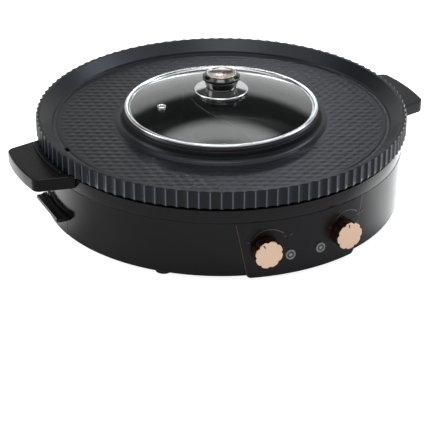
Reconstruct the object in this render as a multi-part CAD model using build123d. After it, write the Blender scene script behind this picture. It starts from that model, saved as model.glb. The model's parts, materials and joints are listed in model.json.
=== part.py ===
from build123d import *
from math import asin, atan2, cos, degrees, pi, radians, sin, sqrt, tan
import os

# Electric hot pot: a round table grill with a lift-out divided pot in its middle.
# Millimetres. Z is up, Z = 0 is the table, the pot's axis is X = Y = 0.
# The control panel faces -Y, the handles point along X, the drip tray pulls out along -X
# and the mains inlet is at +Y.

# ---- Clearances ---------------------------------------------------------------------------
seat_gap = 0.3            # between pieces that lie on or in each other
slide_gap = 0.6           # beside a piece that is pulled or lifted out
bore_gap = 0.06           # radial, a shaft in its bore
weld = 1.0                # how far two shapes of one solid run into each other
clear_of_wall = 20.0      # how far a cut runs past the wall, on either side
press_gap = 0.1           # between moulded faces that are pressed together
screw_room = 4.0          # how far a screw's hole runs past its tip

# ---- Feet and base housing ----------------------------------------------------------------
foot_height = 8.0
foot_radius = 11.0
foot_taper = 1.2
foot_taper_height = 2.4
foot_set_in = 21.0        # circle that the feet stand on, inside the band
foot_peg_radius = 3.5
foot_peg_reach = 1.5      # above the cover
base_height = 91.0        # housing, bottom edge to the top of its band
band_radius = 226.0
band_height = 20.4        # from the seam to the housing's top
housing_wall = 3.5
seam_step = 0.45          # how far the wall's top stands inside the band
wall_draft = 2.6          # further set-back at the bottom edge
ledge_width = 14.0        # from the band's face to the ledge's inner edge
ledge_thickness = 3.0
boss_radius = 5.0
boss_height = 30.0
boss_set_in = 14.5        # circle of the bosses, inside the band
boss_angles = (0.0, 60.0, 120.0, 235.0, 305.0)
boss_rib_width = 3.0
cover_thickness = 2.0
vent_slot_length = 26.0
vent_slot_width = 4.0
vent_slots = 12
vent_circles = (60.0, 75.0)
screw_radius = 1.5
screw_head_radius = 3.4
screw_head_height = 2.0
screw_length = 12.0

# ---- Handles ------------------------------------------------------------------------------
handle_reach = 270.0      # radius of the grip's outer edge
handle_thickness = 16.0
handle_outer_half = 47.0
handle_root_half = 57.0
handle_corner = 10.0
handle_edge = 1.6
handle_ridge_offset = 10.0    # ridge's middle, outside the band
handle_ridge_width = 2.2
handle_ridge_height = 3.0
handle_ridge_half_angle = 11.5
handle_screw_offset = 30.0
handle_screw_depth = 14.0
handle_screw_length = 16.0

# ---- Grill plate --------------------------------------------------------------------------
skirt_gap = 0.5           # between the fluted rim and the housing's band
rim_overhang = 4.0        # rim's ridges, outside the housing's band
rim_height = 21.5
rim_land = 7.0            # flat top of the rim
rim_wall = 5.5
flute_count = 112
flute_depth = 2.2
plate_wall = 4.0
slope_run = 11.5          # rim's inner slope, in plan
slope_drop = 10.0
slope_foot_rise = 1.2     # end of the slope, above the gutter's lowest line
slope_foot_run = 2.2
gutter_run = 5.2          # from the slope to the gutter's lowest line
gutter_depth = 15.1       # all plate depths are below the rim's top
gutter_under_run = 3.0
gutter_under_rise = 0.6
floor_edge_run = 3.1      # from the gutter's lowest line to the floor's edge
floor_edge_depth = 14.3
floor_depth = 14.9
collar_wall = 4.5         # at its foot
collar_fillet = 9.0
collar_top_wall = 3.5
collar_top_depth = 2.5
collar_skirt = 1.0        # how far the collar hangs under the floor
seat_ring_gap = 1.5       # outside the ledge's inner edge
seat_ring_width = 3.5
seat_ring_drop = 1.0      # its root, under the slope's foot
slot_length = 9.0
slot_width = 5.5

# ---- Divided pot --------------------------------------------------------------------------
pot_mouth_radius = 114.6
pot_wall = 2.4
pot_draft = 3.6           # how much narrower the floor is than the mouth
pot_side_gap = 1.0        # round the pot's wall, in the collar
pot_flange_set_in = 0.6   # inside the collar's top edge
pot_flange_thickness = 1.7
pot_floor_thickness = 3.0
pot_inner_depth = 63.4    # flange top to the floor
pot_floor_fillet = 8.0
pot_fillet_lean = 0.35    # what the wall gains in radius over the fillet
pot_fillet_mid_lean = 0.1
divider_thickness = 3.0
divider_swing = 8.0       # how far the S bends to each side
divider_drop = 16.2       # its top edge under the flange's top

# ---- Lid ----------------------------------------------------------------------------------
lid_ring_set_in = 0.4     # inside the pot's flange
lid_ring_height = 6.8
lid_ring_chamfer = 0.8
lid_ring_shoulder_in = 0.7
lid_ring_shoulder_drop = 0.6
lid_ring_top_in = 2.0     # highest line, inside the ring's wall
lid_ring_lip_in = 4.2
lid_ring_lip_drop = 0.5
lid_ring_bead_in = 5.2
lid_skirt_gap = 1.2       # between the skirt and the pot's mouth
lid_skirt_depth = 4.2
lid_skirt_wall = 1.0
glass_set_in = 2.5        # glass's edge, inside the ring's wall
glass_lift = 1.2          # its lower edge, above the pot's flange
glass_land = 3.0          # its flat edge, above
glass_under_land = 2.0
glass_thickness = 4.0
dome_rise = 21.6
glass_hole_radius = 4.5
vent_place_radius = 79.5
vent_angle = 178.0
vent_outer_radius = 5.6
vent_inner_radius = 2.2
vent_flange_width = 1.4
vent_flange_height = 1.0
vent_flange_chamfer = 0.6
vent_mouth_chamfer = 0.8
vent_rivet_in = 0.5
vent_gap = 0.05
knob_plate_radius = 33.0
knob_plate_top_radius = 20.0
knob_plate_rise = 5.2
knob_plate_sheet = 1.2
knob_plate_edge = (1.6, 1.0, 1.2, 1.8)    # foot's width and height, shoulder's run and height
knob_plate_hole_gap = 0.2
knob_plate_bend = 0.4
lid_knob_foot_radius = 18.6
lid_knob_waist_radius = 21.4
lid_knob_radius = 23.8
lid_knob_height = 17.0
lid_knob_edge = 0.6
lid_cap_radius = 18.2
lid_cap_gap = 0.1
lid_cap_wall = 1.2
lid_cap_height = 1.6
lid_cap_edge_in = (0.7, 1.6, 5.0)
lid_cap_dish = 2.4
lid_knob_crown = 1.2      # flat of the knob outside the cap
lid_screw_radius = 2.5
lid_screw_depth = 9.0
lid_washer_radius = 9.0
lid_washer_thickness = 1.6

# ---- Heating ------------------------------------------------------------------------------
shield_sheet = 1.0
shield_lap = 4.0          # how far the shield reaches under the ledge
shield_wall_set_in = 17.0     # its step, inside the ledge's edge
shield_inner_gap = 3.0    # its inner edge, outside the well
shield_depth = 10.0
element_circle = 165.0
element_radius = 3.25
element_gap_angle = 30.0
element_leg = 24.0
element_leg_gap = 1.2
clip_width = 12.0
clip_length = 5.0
clip_gap = 0.15
clip_angles = (45.0, 135.0, 225.0, 315.0)
well_gap = 9.0            # well's wall, outside the collar's bore
well_flange_width = 9.0
well_floor_height = 36.0
well_hole_radius = 12.0
well_post_radius = 5.0
well_post_circle = 100.0
heater_radius = 88.0
heater_thickness = 6.7
heater_ring_circle = 58.0
heater_ring_radius = 4.0
heater_post_radius = 4.0
heater_post_circle = 78.0
heater_pin_radius = 2.5
heater_pin_spacing = 12.0
heater_pin_clear = 2.0    # pins' tips, above the well's floor
heater_edge = 1.5
post_count = 3

# ---- Control panel, knobs and thermostats --------------------------------------------------
panel_set_in = 0.3        # its face, inside the band's
panel_thickness = 3.4     # at its top
panel_seat_sink = 0.4     # its seat's foot, inside the wall's
panel_seat_turn = 2.0     # degrees that the thick wall behind it runs past its sides
panel_top_half_angle = 21.8
panel_bottom_half_angle = 18.2
panel_drop = 2.0          # how far it hangs below the housing's edge
panel_corner = 5.0
panel_edge = 0.5
panel_ring_half_angle = 30.0  # half of the ring that the panel is cut from
panel_screw_offset = 62.0
panel_screw_low = 14.0    # lower screws, above the panel's bottom edge
panel_screw_drop = 10.0   # upper screws, under the seam
panel_screw_cover = 1.0   # plastic left in front of a screw
panel_screw_room = 0.4
knob_spread = 51.4        # each knob's distance from the middle
knob_height = 43.3
knob_splay = 5.0
knob_radius = 17.2
knob_stand_off = 2.0      # knob's back, out from the panel
knob_length = 14.3
knob_lobes = 8
knob_notch_radius = 3.4
knob_notch_place = 19.2
knob_edge = 0.9
knob_pointers = (27.0, 5.0)   # pointer's turn to the left of straight up, left and right knob
pointer_width = 1.6
pointer_length = 4.6
pointer_edge = 1.6        # its outer end, from the knob's edge
pointer_depth = 1.0
shaft_radius = 3.0
shaft_flat = 0.8
shaft_depth = 14.0        # how far it runs into the thermostat
shaft_short = 6.0         # its tip, behind the knob's face
thermostat_size = (34.0, 20.0, 32.0)
thermostat_corner = 2.0
thermostat_tab = (6.0, 8.0, 0.8)  # width, length and sheet
thermostat_tab_spread = 8.0
bushing_short = 1.0       # bushing's end, behind the panel's face
thermostat_set_back = 14.5
bushing_radius = 5.5
lens_spread = 19.7
lens_height = 31.2
lens_radius = 6.1
lens_rim = 2.0
lens_stem_radius = 4.2
lens_stem = 11.0
lamp_radius = 3.4
lamp_length = 20.0
lamp_gap = 0.2
lamp_edge = 1.0

# ---- Drip tray ----------------------------------------------------------------------------
tray_half_width = 30.8
tray_length = 61.9
tray_height = 24.7        # top edge above the bottom of the tray's front
tray_floor_lift = 2.7     # tray's floor above the bottom of its front
tray_wall = 2.0
tray_front = 2.6
tray_corner = 3.0
lip_reach = 12.3          # out from the tray's front
lip_half_width = 36.5
lip_rise = 3.2            # its root's top, above the tray
lip_drop = 2.2            # its underside, below the tray's top
lip_corner = 7.0
tray_boss_radius = 3.2
tray_boss_height = 1.2
tray_boss_inset = 9.0
lip_overlap = 3.8         # how far the lip's root runs into the tray's front
lip_tip_edge = (1.2, 1.6)     # width and height of the slope under its tip
lip_tip_top = (0.8, 0.6)      # its top edge, inside the tip and under the root's top
lip_dish = (5.5, 1.8)     # its lowest line: out from the tray's front, under the root's top
guide_wall = 1.5
chute_length = 15.0
chute_width = 10.0
chute_wall = 1.2

# ---- Mains inlet and lead -----------------------------------------------------------------
inlet_height = 34.0
inlet_reach = 241.0       # how far behind the axis the socket's face stands
inlet_shroud_length = 19.0
inlet_flange = (50.0, 3.0, 29.0)
inlet_seat_border = 2.0   # flat of the housing that shows round the flange
inlet_shroud = (31.0, 23.0)
inlet_recess = (24.6, 16.6)
inlet_recess_depth = 17.0
inlet_back = 22.0
inlet_screw_offset = 20.5
inlet_screw_length = 10.0
inlet_key = 4.0           # cut corners of the socket's opening
inlet_edge = 1.0
pin_size = (4.0, 14.0, 2.0)
pin_spread = 7.0
pin_lift = 2.0
tab_length = 8.0
connector_nose_gap = 0.4
connector_body = (27.0, 26.0, 19.0)
connector_taper = (0.62, 0.78)    # width and height at its cord end
connector_corner = 4.0
connector_tip_gap = 1.0   # between its nose and the floor of the socket
relief_length = 30.0
relief_root_radius = 6.6
relief_tip_radius = 5.2
lead_radius = 4.15
plug_body = (30.0, 24.0, 20.0)
plug_relief_length = 26.0
plug_corner = 6.0
plug_edge = 3.0
plug_blade_offset = 2.5   # blades, to the flat side of the plug's middle
blade_size = (17.5, 1.5, 6.3)
blade_spread = 6.35
earth_pin_radius = 2.4
earth_pin_length = 21.0
earth_pin_offset = 9.5    # from the blades' line

# ---- Inside wiring ---------------------------------------------------------------------------
terminal_x = 60.0
terminal_set_in = 59.0    # in front of the inlet's seat
terminal_size = (44.0, 18.0, 16.0)
terminal_ways = 4
terminal_pitch = 10.0
terminal_hole_radius = 2.2
terminal_web = 6.0        # floor under the holes
terminal_wire_lift = 2.0  # a wire's end, above that floor
fuse_radius = 2.5
fuse_length = 22.0
fuse_place = 60.0         # middle of the fuse, to the right of the axis
wire_radius = 1.4
wire_end_gap = 0.5

# ---- Radii and heights worked out from the above ---------------------------------------------
ledge_inner_radius = band_radius - ledge_width
boss_circle = band_radius - boss_set_in
foot_circle = band_radius - foot_set_in
handle_ridge_radius = band_radius + handle_ridge_offset
rim_radius = band_radius + rim_overhang
rim_inner_radius = rim_radius - rim_land
slope_foot_radius = rim_inner_radius - slope_run
gutter_radius = slope_foot_radius - gutter_run
floor_edge_radius = gutter_radius - floor_edge_run
collar_bore = pot_mouth_radius + pot_wall + pot_side_gap
collar_radius = collar_bore + collar_wall
collar_top_radius = collar_bore + collar_top_wall
pot_floor_radius = pot_mouth_radius - pot_draft
pot_flange_radius = collar_top_radius - pot_flange_set_in
lid_ring_radius = pot_flange_radius - lid_ring_set_in
lid_skirt_radius = pot_mouth_radius - lid_skirt_gap
glass_edge_radius = lid_ring_radius - glass_set_in
well_radius = collar_bore + well_gap
well_flange_radius = well_radius + well_flange_width
shield_outer_radius = ledge_inner_radius + shield_lap
shield_wall_radius = ledge_inner_radius - shield_wall_set_in
shield_inner_radius = well_radius + shield_inner_gap
base_bottom = foot_height
base_top = base_bottom + base_height
seam = base_top - band_height
rim_bottom = base_top + skirt_gap
rim_top = rim_bottom + rim_height
floor_top = rim_top - floor_depth
floor_under = floor_top - plate_wall
cover_top = base_bottom + cover_thickness
wall_top_radius = band_radius - seam_step
wall_foot_radius = wall_top_radius - wall_draft
wall_inner_radius = wall_foot_radius - housing_wall
band_inner_radius = band_radius - housing_wall
collar_top = rim_top - collar_top_depth
pot_top = collar_top + pot_flange_thickness
pot_floor = pot_top - pot_inner_depth
pot_bottom = pot_floor - pot_floor_thickness
ledge_under = base_top - ledge_thickness
panel_radius = band_radius - panel_set_in
panel_seat_radius = panel_radius - panel_thickness
panel_seat_foot_radius = wall_foot_radius - panel_seat_sink
panel_bottom = base_bottom - panel_drop

nodes = {}
os.makedirs("parts", exist_ok=True)


# ---- Shapes that several pieces share ------------------------------------------------------
def lathe(outline, start=0.0, sweep=360.0):
    """Solid turned about Z from an outline of (radius, height) points."""
    face = make_face(Polyline(*[(r, 0, z) for r, z in outline], close=True))
    return revolve(Rot(0, 0, start) * face, Axis.Z, sweep)


def tube(outer, inner, bottom, top):
    """Plain ring between two radii and two heights."""
    return lathe([(inner, bottom), (outer, bottom), (outer, top), (inner, top)])


def post(radius, bottom, top, x=0.0, y=0.0):
    """Upright cylinder."""
    return Pos(x, y, bottom) * Cylinder(radius, top - bottom,
                                        align=(Align.CENTER, Align.CENTER, Align.MIN))


def block(x0, x1, y0, y1, z0, z1):
    """Box between two corners."""
    return Pos((x0 + x1) / 2, (y0 + y1) / 2, (z0 + z1) / 2) * Box(x1 - x0, y1 - y0, z1 - z0)


def polar(radius, angle):
    """Point at a radius and an angle in degrees."""
    return radius * cos(radians(angle)), radius * sin(radians(angle))


def outward(x, y, z, angle):
    """Frame at a point of the wall: its Z points outward at the angle, its Y points up."""
    d = (cos(radians(angle)), sin(radians(angle)), 0)
    return Plane(origin=(x, y, z), x_dir=(-d[1], d[0], 0), z_dir=d).location


def wall_cone(set_in=0.0):
    """Solid inside the tapered wall's outer face, from the bottom edge to the seam."""
    return lathe([(0, base_bottom), (wall_foot_radius - set_in, base_bottom),
                  (wall_top_radius - set_in, seam), (0, seam)])


def panel_outline(border, low, high):
    """Extruded front view of the panel, with a border round its sides, between two heights."""
    top_half = panel_radius * sin(radians(panel_top_half_angle)) + border
    bottom_half = panel_radius * sin(radians(panel_bottom_half_angle)) + border
    front = make_face(Polyline((-top_half, 0, high), (top_half, 0, high),
                               (bottom_half, 0, low), (-bottom_half, 0, low), close=True))
    front = fillet(front.vertices().group_by(Axis.Z)[0], panel_corner)
    return extrude(front, band_radius + clear_of_wall, dir=(0, -1, 0))


def upright_edges(shape, keep):
    """The shape's vertical edges whose middle point passes the test."""
    return [e for e in shape.edges().filter_by(Axis.Z) if keep(e.center())]


def pan_screw(length, radius=screw_radius):
    """Pan-head screw: head below Z = 0, shank up along Z."""
    head = post(screw_head_radius, -screw_head_height, 0)
    head = fillet(head.faces().sort_by(Axis.Z)[0].edges(), screw_head_height * 0.45)
    cross = Box(screw_head_radius, 0.8, 1.6) + Box(0.8, screw_head_radius, 1.6)
    return head + post(radius, 0, length) - Pos(0, 0, -screw_head_height) * cross


# ---- Base housing --------------------------------------------------------------------------
knob_frames = []
lens_frames = []
for side in (-1, 1):
    knob_y = -sqrt(panel_radius**2 - knob_spread**2)
    knob_frames.append(outward(side * knob_spread, knob_y, knob_height, -90 + side * knob_splay))
    lens_turn = degrees(asin(lens_spread / panel_radius))
    lens_y = -sqrt(panel_radius**2 - lens_spread**2)
    lens_frames.append(outward(side * lens_spread, lens_y, lens_height, -90 + side * lens_turn))

past_wall = band_radius + clear_of_wall
inside_wall = wall_inner_radius - clear_of_wall
housing = lathe([(wall_inner_radius, base_bottom), (wall_foot_radius, base_bottom),
                 (wall_top_radius, seam), (band_radius, seam), (band_radius, base_top),
                 (ledge_inner_radius, base_top), (ledge_inner_radius, ledge_under),
                 (band_inner_radius, ledge_under), (band_inner_radius, seam)])

# thick wall behind the panel, and the panel's seat in it
seat_half_angle = panel_top_half_angle + panel_seat_turn
panel_top = seam - seat_gap / 2
housing += lathe([(wall_inner_radius, base_bottom), (wall_foot_radius - weld, base_bottom),
                  (wall_top_radius - weld, seam), (wall_top_radius - weld, seam + housing_wall),
                  (wall_inner_radius, seam + housing_wall)],
                 -90 - seat_half_angle, 2 * seat_half_angle)
panel_seat = lathe([(panel_seat_foot_radius, base_bottom - weld), (past_wall, base_bottom - weld),
                    (past_wall, seam), (panel_seat_radius, seam),
                    (panel_seat_foot_radius, base_bottom)],
                   -90 - panel_ring_half_angle, 2 * panel_ring_half_angle)
housing -= panel_seat & panel_outline(seat_gap / 2, panel_bottom, seam)

rib_end = wall_foot_radius - weld / 2
for angle in boss_angles:
    x, y = polar(boss_circle, angle)
    rib = block(boss_circle, rib_end, -boss_rib_width / 2, boss_rib_width / 2,
                cover_top, cover_top + boss_height)
    housing += post(boss_radius, cover_top, cover_top + boss_height, x, y) + Rot(0, 0, angle) * rib
    housing -= post(screw_radius + bore_gap, base_bottom, cover_top + screw_length + screw_room, x, y)

# flat seat for the mains inlet, and its cut-out
flange_width, flange_depth, flange_height = inlet_flange
inlet_seat = inlet_reach - inlet_shroud_length - flange_depth
inlet_low = inlet_height - flange_height / 2
inlet_high = inlet_height + flange_height / 2
seat_half = flange_width / 2 + inlet_seat_border
wall_chord = sqrt(wall_inner_radius**2 - seat_half**2)
seat_low = inlet_low - inlet_seat_border
seat_high = inlet_high + inlet_seat_border
seat_back = min(wall_chord, inlet_seat - housing_wall)
behind_seat = min(inside_wall, inlet_seat - clear_of_wall)
past_seat = max(past_wall, inlet_seat + clear_of_wall)
surround = block(-seat_half - housing_wall, seat_half + housing_wall, seat_back, past_wall,
                 seat_low - housing_wall, seat_high + housing_wall)
housing += surround & wall_cone()
housing += block(-seat_half, seat_half, seat_back, inlet_seat, seat_low, seat_high)
housing -= block(-seat_half, seat_half, inlet_seat, past_seat, seat_low, seat_high)
shroud_width, shroud_height = inlet_shroud
housing -= block(-shroud_width / 2 - seat_gap, shroud_width / 2 + seat_gap, behind_seat, past_seat,
                 inlet_height - shroud_height / 2 - seat_gap,
                 inlet_height + shroud_height / 2 + seat_gap)
for side in (-1, 1):
    hole = Rot(-90, 0, 0) * post(screw_radius + bore_gap, behind_seat, past_seat)
    housing -= Pos(side * inlet_screw_offset, 0, inlet_height) * hole

# drip tray opening
tray_opening_half = tray_half_width + slide_gap
tray_low = base_bottom + seat_gap
tray_top = tray_low + tray_height
guide_front = wall_inner_radius - slide_gap
housing -= block(-past_wall, -inside_wall, -tray_opening_half, tray_opening_half,
                 0, tray_top + slide_gap)

# holes for the thermostats' bushings and the lenses' stems
for frame in knob_frames:
    housing -= frame * post(bushing_radius + bore_gap, -clear_of_wall, clear_of_wall)
for frame in lens_frames:
    housing -= frame * post(lens_stem_radius + bore_gap, -clear_of_wall, clear_of_wall)
panel_screw_heights = (panel_bottom + panel_screw_low, seam - panel_screw_drop)
panel_screw_axes = []
for side in (-1, 1):
    for height in panel_screw_heights:
        turn = degrees(asin(panel_screw_offset / panel_radius))
        x, y = polar(sqrt(wall_inner_radius**2 - screw_head_radius**2), -90 + side * turn)
        panel_screw_axes.append(outward(x, y, height, -90 + side * turn))
for frame in panel_screw_axes:
    housing -= frame * post(screw_radius + bore_gap, -clear_of_wall, clear_of_wall)
handle_axis_height = base_top - handle_thickness / 2
for turn in (0, 180):
    for side in (-1, 1):
        hole = Rot(0, 90, 0) * post(screw_radius + bore_gap, inside_wall, past_wall)
        housing -= Rot(0, 0, turn) * Pos(0, side * handle_screw_offset, handle_axis_height) * hole
nodes["base_housing"] = housing

# ---- Bottom cover, its screws and the feet ---------------------------------------------------
cover = post(wall_inner_radius - slide_gap, base_bottom, cover_top)
foot_angles = (45.0, 135.0, 225.0, 315.0)
for circle in vent_circles:
    for i in range(vent_slots):
        slot = SlotOverall(vent_slot_length, vent_slot_width)
        turn = 360 / vent_slots * (i + (circle == vent_circles[1]) / 2)
        place = Rot(0, 0, turn) * Pos(circle, 0, base_bottom)
        cover -= place * Rot(0, 0, 90) * extrude(slot, cover_thickness)
for angle in boss_angles:
    x, y = polar(boss_circle, angle)
    cover -= post(screw_radius + seat_gap, base_bottom, cover_top, x, y)
for angle in foot_angles:
    x, y = polar(foot_circle, angle)
    cover -= post(foot_peg_radius + bore_gap, base_bottom, cover_top, x, y)
nodes["bottom_cover"] = cover

screws = Part()
for angle in boss_angles:
    x, y = polar(boss_circle, angle)
    screws += Pos(x, y, base_bottom) * pan_screw(screw_length)
nodes["bottom_screws"] = screws

for name, angle in zip(("foot_back_right", "foot_back_left", "foot_front_left",
                        "foot_front_right"), foot_angles):
    x, y = polar(foot_circle, angle)
    foot = lathe([(0, 0), (foot_radius - foot_taper, 0), (foot_radius, foot_taper_height),
                  (foot_radius, foot_height), (0, foot_height)])
    foot += post(foot_peg_radius, foot_height, cover_top + foot_peg_reach)
    nodes[name] = Pos(x, y, 0) * foot

# ---- Handles ---------------------------------------------------------------------------------
handle_root = band_radius + press_gap
root_x = sqrt(handle_root**2 - handle_root_half**2)
outer_x = sqrt(handle_reach**2 - handle_outer_half**2)
grip_outline = [
    ThreePointArc((root_x, handle_root_half), (handle_root, 0), (root_x, -handle_root_half)),
    Line((root_x, -handle_root_half), (outer_x, -handle_outer_half)),
    ThreePointArc((outer_x, -handle_outer_half), (handle_reach, 0), (outer_x, handle_outer_half)),
    Line((outer_x, handle_outer_half), (root_x, handle_root_half)),
]
handle_bottom = base_top - handle_thickness
grip = Pos(0, 0, handle_bottom) * extrude(make_face(grip_outline), handle_thickness)
grip = fillet(upright_edges(grip, lambda c: c.X > outer_x - weld), handle_corner)
grip = fillet(grip.faces().sort_by(Axis.Z)[-1].edges().filter_by(
    lambda e: e.center().X > handle_root + weld), handle_edge)
grip = fillet(grip.faces().sort_by(Axis.Z)[0].edges().filter_by(
    lambda e: e.center().X > handle_root + weld), handle_edge)
ridge_low = handle_ridge_radius - handle_ridge_width / 2
ridge_high = handle_ridge_radius + handle_ridge_width / 2
grip += lathe([(ridge_low, base_top - weld), (ridge_high, base_top - weld),
               (ridge_high, base_top + handle_ridge_height),
               (ridge_low, base_top + handle_ridge_height)],
              -handle_ridge_half_angle, 2 * handle_ridge_half_angle)
handle_screw_seat = band_radius - housing_wall
for side in (-1, 1):
    hole = Rot(0, 90, 0) * post(screw_radius + bore_gap, inside_wall, band_radius + handle_screw_depth)
    grip -= Pos(0, side * handle_screw_offset, handle_axis_height) * hole
nodes["handle_right"] = grip
nodes["handle_left"] = Rot(0, 0, 180) * grip

screws = Part()
for turn in (0, 180):
    for side in (-1, 1):
        seat = sqrt(handle_screw_seat**2 - (handle_screw_offset + screw_head_radius)**2)
        screw = Rot(0, 90, 0) * pan_screw(handle_screw_length)
        place = Pos(seat, side * handle_screw_offset, handle_axis_height)
        screws += Rot(0, 0, turn) * place * screw
nodes["handle_screws"] = screws

# ---- Control panel ---------------------------------------------------------------------------
panel_ring = lathe([(panel_seat_foot_radius + seat_gap / 2, panel_bottom),
                    (panel_radius, panel_bottom), (panel_radius, panel_top),
                    (panel_seat_radius + seat_gap / 2, panel_top),
                    (panel_seat_foot_radius + seat_gap / 2, base_bottom)],
                   -90 - panel_ring_half_angle, 2 * panel_ring_half_angle)
panel = panel_ring & panel_outline(0, panel_bottom, panel_top)
panel = fillet(panel.faces().sort_by(lambda f: f.center().Y)[0].edges(), panel_edge)
for frame in knob_frames:
    panel -= frame * post(bushing_radius + bore_gap, -clear_of_wall, clear_of_wall)
for frame in lens_frames:
    panel -= frame * post(lens_stem_radius + bore_gap, -clear_of_wall, clear_of_wall)
panel_screw_length = panel_radius - wall_inner_radius - panel_screw_cover
for frame in panel_screw_axes:
    panel -= frame * post(screw_radius + bore_gap, -clear_of_wall, panel_screw_length + panel_screw_room)
nodes["control_panel"] = panel
screws = Part()
for frame in panel_screw_axes:
    screws += frame * pan_screw(panel_screw_length)
nodes["panel_screws"] = screws

# ---- Thermostats and knobs -------------------------------------------------------------------
body_width, body_depth, body_height = thermostat_size
knob_front = knob_stand_off + knob_length
shaft_end = -thermostat_set_back - shaft_depth
tab_width, thermostat_tab_length, tab_sheet = thermostat_tab
tab_back = -thermostat_set_back - body_depth - thermostat_tab_length
for i, (label, frame) in enumerate(zip(("left", "right"), knob_frames)):
    case = Pos(0, 0, -thermostat_set_back - body_depth / 2) * Box(body_width, body_height, body_depth)
    case = fillet(case.edges().filter_by(Axis.Z), thermostat_corner)
    case += post(bushing_radius, -thermostat_set_back - weld, -bushing_short)
    case -= post(shaft_radius + bore_gap, shaft_end - weld, knob_front)
    for side in (-1, 1):
        tab = block(-tab_width / 2, tab_width / 2, -tab_sheet / 2, tab_sheet / 2,
                    tab_back, tab_back + thermostat_tab_length + weld)
        case += Pos(side * thermostat_tab_spread, -thermostat_tab_spread, 0) * tab
    nodes[f"thermostat_{label}"] = frame * case

    flat_cut = block(-shaft_radius, shaft_radius, shaft_radius - shaft_flat, shaft_radius + weld,
                     knob_stand_off, knob_front)
    pointer_turn = Rot(0, 0, knob_pointers[i])
    shaft_tip = knob_front - shaft_short
    shaft = post(shaft_radius, shaft_end, shaft_tip) - flat_cut
    nodes[f"shaft_{label}"] = frame * pointer_turn * shaft

    lobes = Circle(knob_radius)
    for k in range(knob_lobes):
        x, y = polar(knob_notch_place, 360 / knob_lobes * (k + 0.5) + 90)
        lobes -= Pos(x, y) * Circle(knob_notch_radius)
    knob = Pos(0, 0, knob_stand_off) * extrude(lobes, knob_length)
    knob = fillet(knob.edges().filter_by(Axis.Z), knob_edge * 1.5)
    knob = fillet(knob.faces().sort_by(Axis.Z)[-1].edges(), knob_edge)
    pointer_mid = knob_radius - pointer_edge - pointer_length / 2
    knob -= Pos(0, pointer_mid, knob_front) * Box(pointer_width, pointer_length, 2 * pointer_depth)
    bore = post(shaft_radius + bore_gap / 2, 0, shaft_tip + seat_gap)
    bore -= block(-shaft_radius - weld, shaft_radius + weld, shaft_radius - shaft_flat + bore_gap / 2,
                  shaft_radius + 2 * weld, knob_stand_off, knob_front)
    knob -= bore
    nodes[f"knob_{label}"] = frame * pointer_turn * knob

# ---- Indicator lenses and lamps ---------------------------------------------------------------
lamps = Part()
for label, frame in zip(("left", "right"), lens_frames):
    lens = post(lens_radius, press_gap, lens_rim)
    lens = fillet(lens.faces().sort_by(Axis.Z)[-1].edges(), lens_rim * 0.6)
    lens += post(lens_stem_radius, -lens_stem, press_gap)
    nodes[f"indicator_lens_{label}"] = frame * lens
    lamp = post(lamp_radius, -lens_stem - lamp_gap - lamp_length, -lens_stem - lamp_gap)
    lamps += frame * fillet(lamp.faces().sort_by(Axis.Z)[0].edges(), lamp_edge)
nodes["indicator_lamps"] = lamps

# ---- Grill plate -------------------------------------------------------------------------------
valley_radius = rim_radius - flute_depth
skirt_inner_radius = rim_radius - rim_wall
seat_inner_radius = ledge_inner_radius + seat_ring_gap
seat_outer_radius = seat_inner_radius + seat_ring_width
slope_foot = rim_top - slope_drop
gutter = rim_top - gutter_depth
fillet_centre = (collar_radius + collar_fillet, floor_top + collar_fillet)
fillet_mid = (fillet_centre[0] - collar_fillet * cos(pi / 4),
              fillet_centre[1] - collar_fillet * sin(pi / 4))
top_line = [(valley_radius, rim_top), (rim_inner_radius, rim_top), (slope_foot_radius, slope_foot),
            (gutter_radius + slope_foot_run, gutter + slope_foot_rise), (gutter_radius, gutter),
            (floor_edge_radius, rim_top - floor_edge_depth), (fillet_centre[0], floor_top)]
collar_line = [(collar_radius, fillet_centre[1]), (collar_top_radius, collar_top),
               (collar_bore, collar_top), (collar_bore, floor_under - collar_skirt),
               (collar_bore + plate_wall, floor_under - collar_skirt),
               (collar_radius + collar_fillet, floor_under),
               (floor_edge_radius, floor_under), (gutter_radius, gutter - plate_wall),
               (gutter_radius + gutter_under_run, gutter - plate_wall + gutter_under_rise),
               (seat_inner_radius, slope_foot - plate_wall), (seat_inner_radius, base_top),
               (seat_outer_radius, base_top), (seat_outer_radius, slope_foot - seat_ring_drop),
               (skirt_inner_radius, rim_top - 2 * plate_wall), (skirt_inner_radius, rim_bottom),
               (valley_radius, rim_bottom), (valley_radius, rim_top)]
plate_edges = [
    Polyline(*[(r, 0, z) for r, z in top_line]),
    ThreePointArc((fillet_centre[0], 0, floor_top), (fillet_mid[0], 0, fillet_mid[1]),
                  (collar_radius, 0, fillet_centre[1])),
    Polyline(*[(r, 0, z) for r, z in collar_line]),
]
plate = revolve(make_face(plate_edges), Axis.Z, 360)
flutes = []
step = 360 / flute_count
for i in range(flute_count):
    start = polar(rim_radius, step * i)
    middle = polar(valley_radius, step * (i + 0.5))
    end = polar(rim_radius, step * (i + 1))
    flutes.append(ThreePointArc(start, middle, end))
fluted_band = make_face(flutes) - Circle(valley_radius - weld)
plate += Pos(0, 0, rim_bottom) * extrude(fluted_band, rim_height)
slot = Rot(0, 0, 90) * SlotOverall(slot_length, slot_width)
plate -= Pos(-gutter_radius, 0, gutter - 2 * plate_wall) * extrude(slot, 3 * plate_wall)
nodes["grill_plate"] = plate

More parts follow.
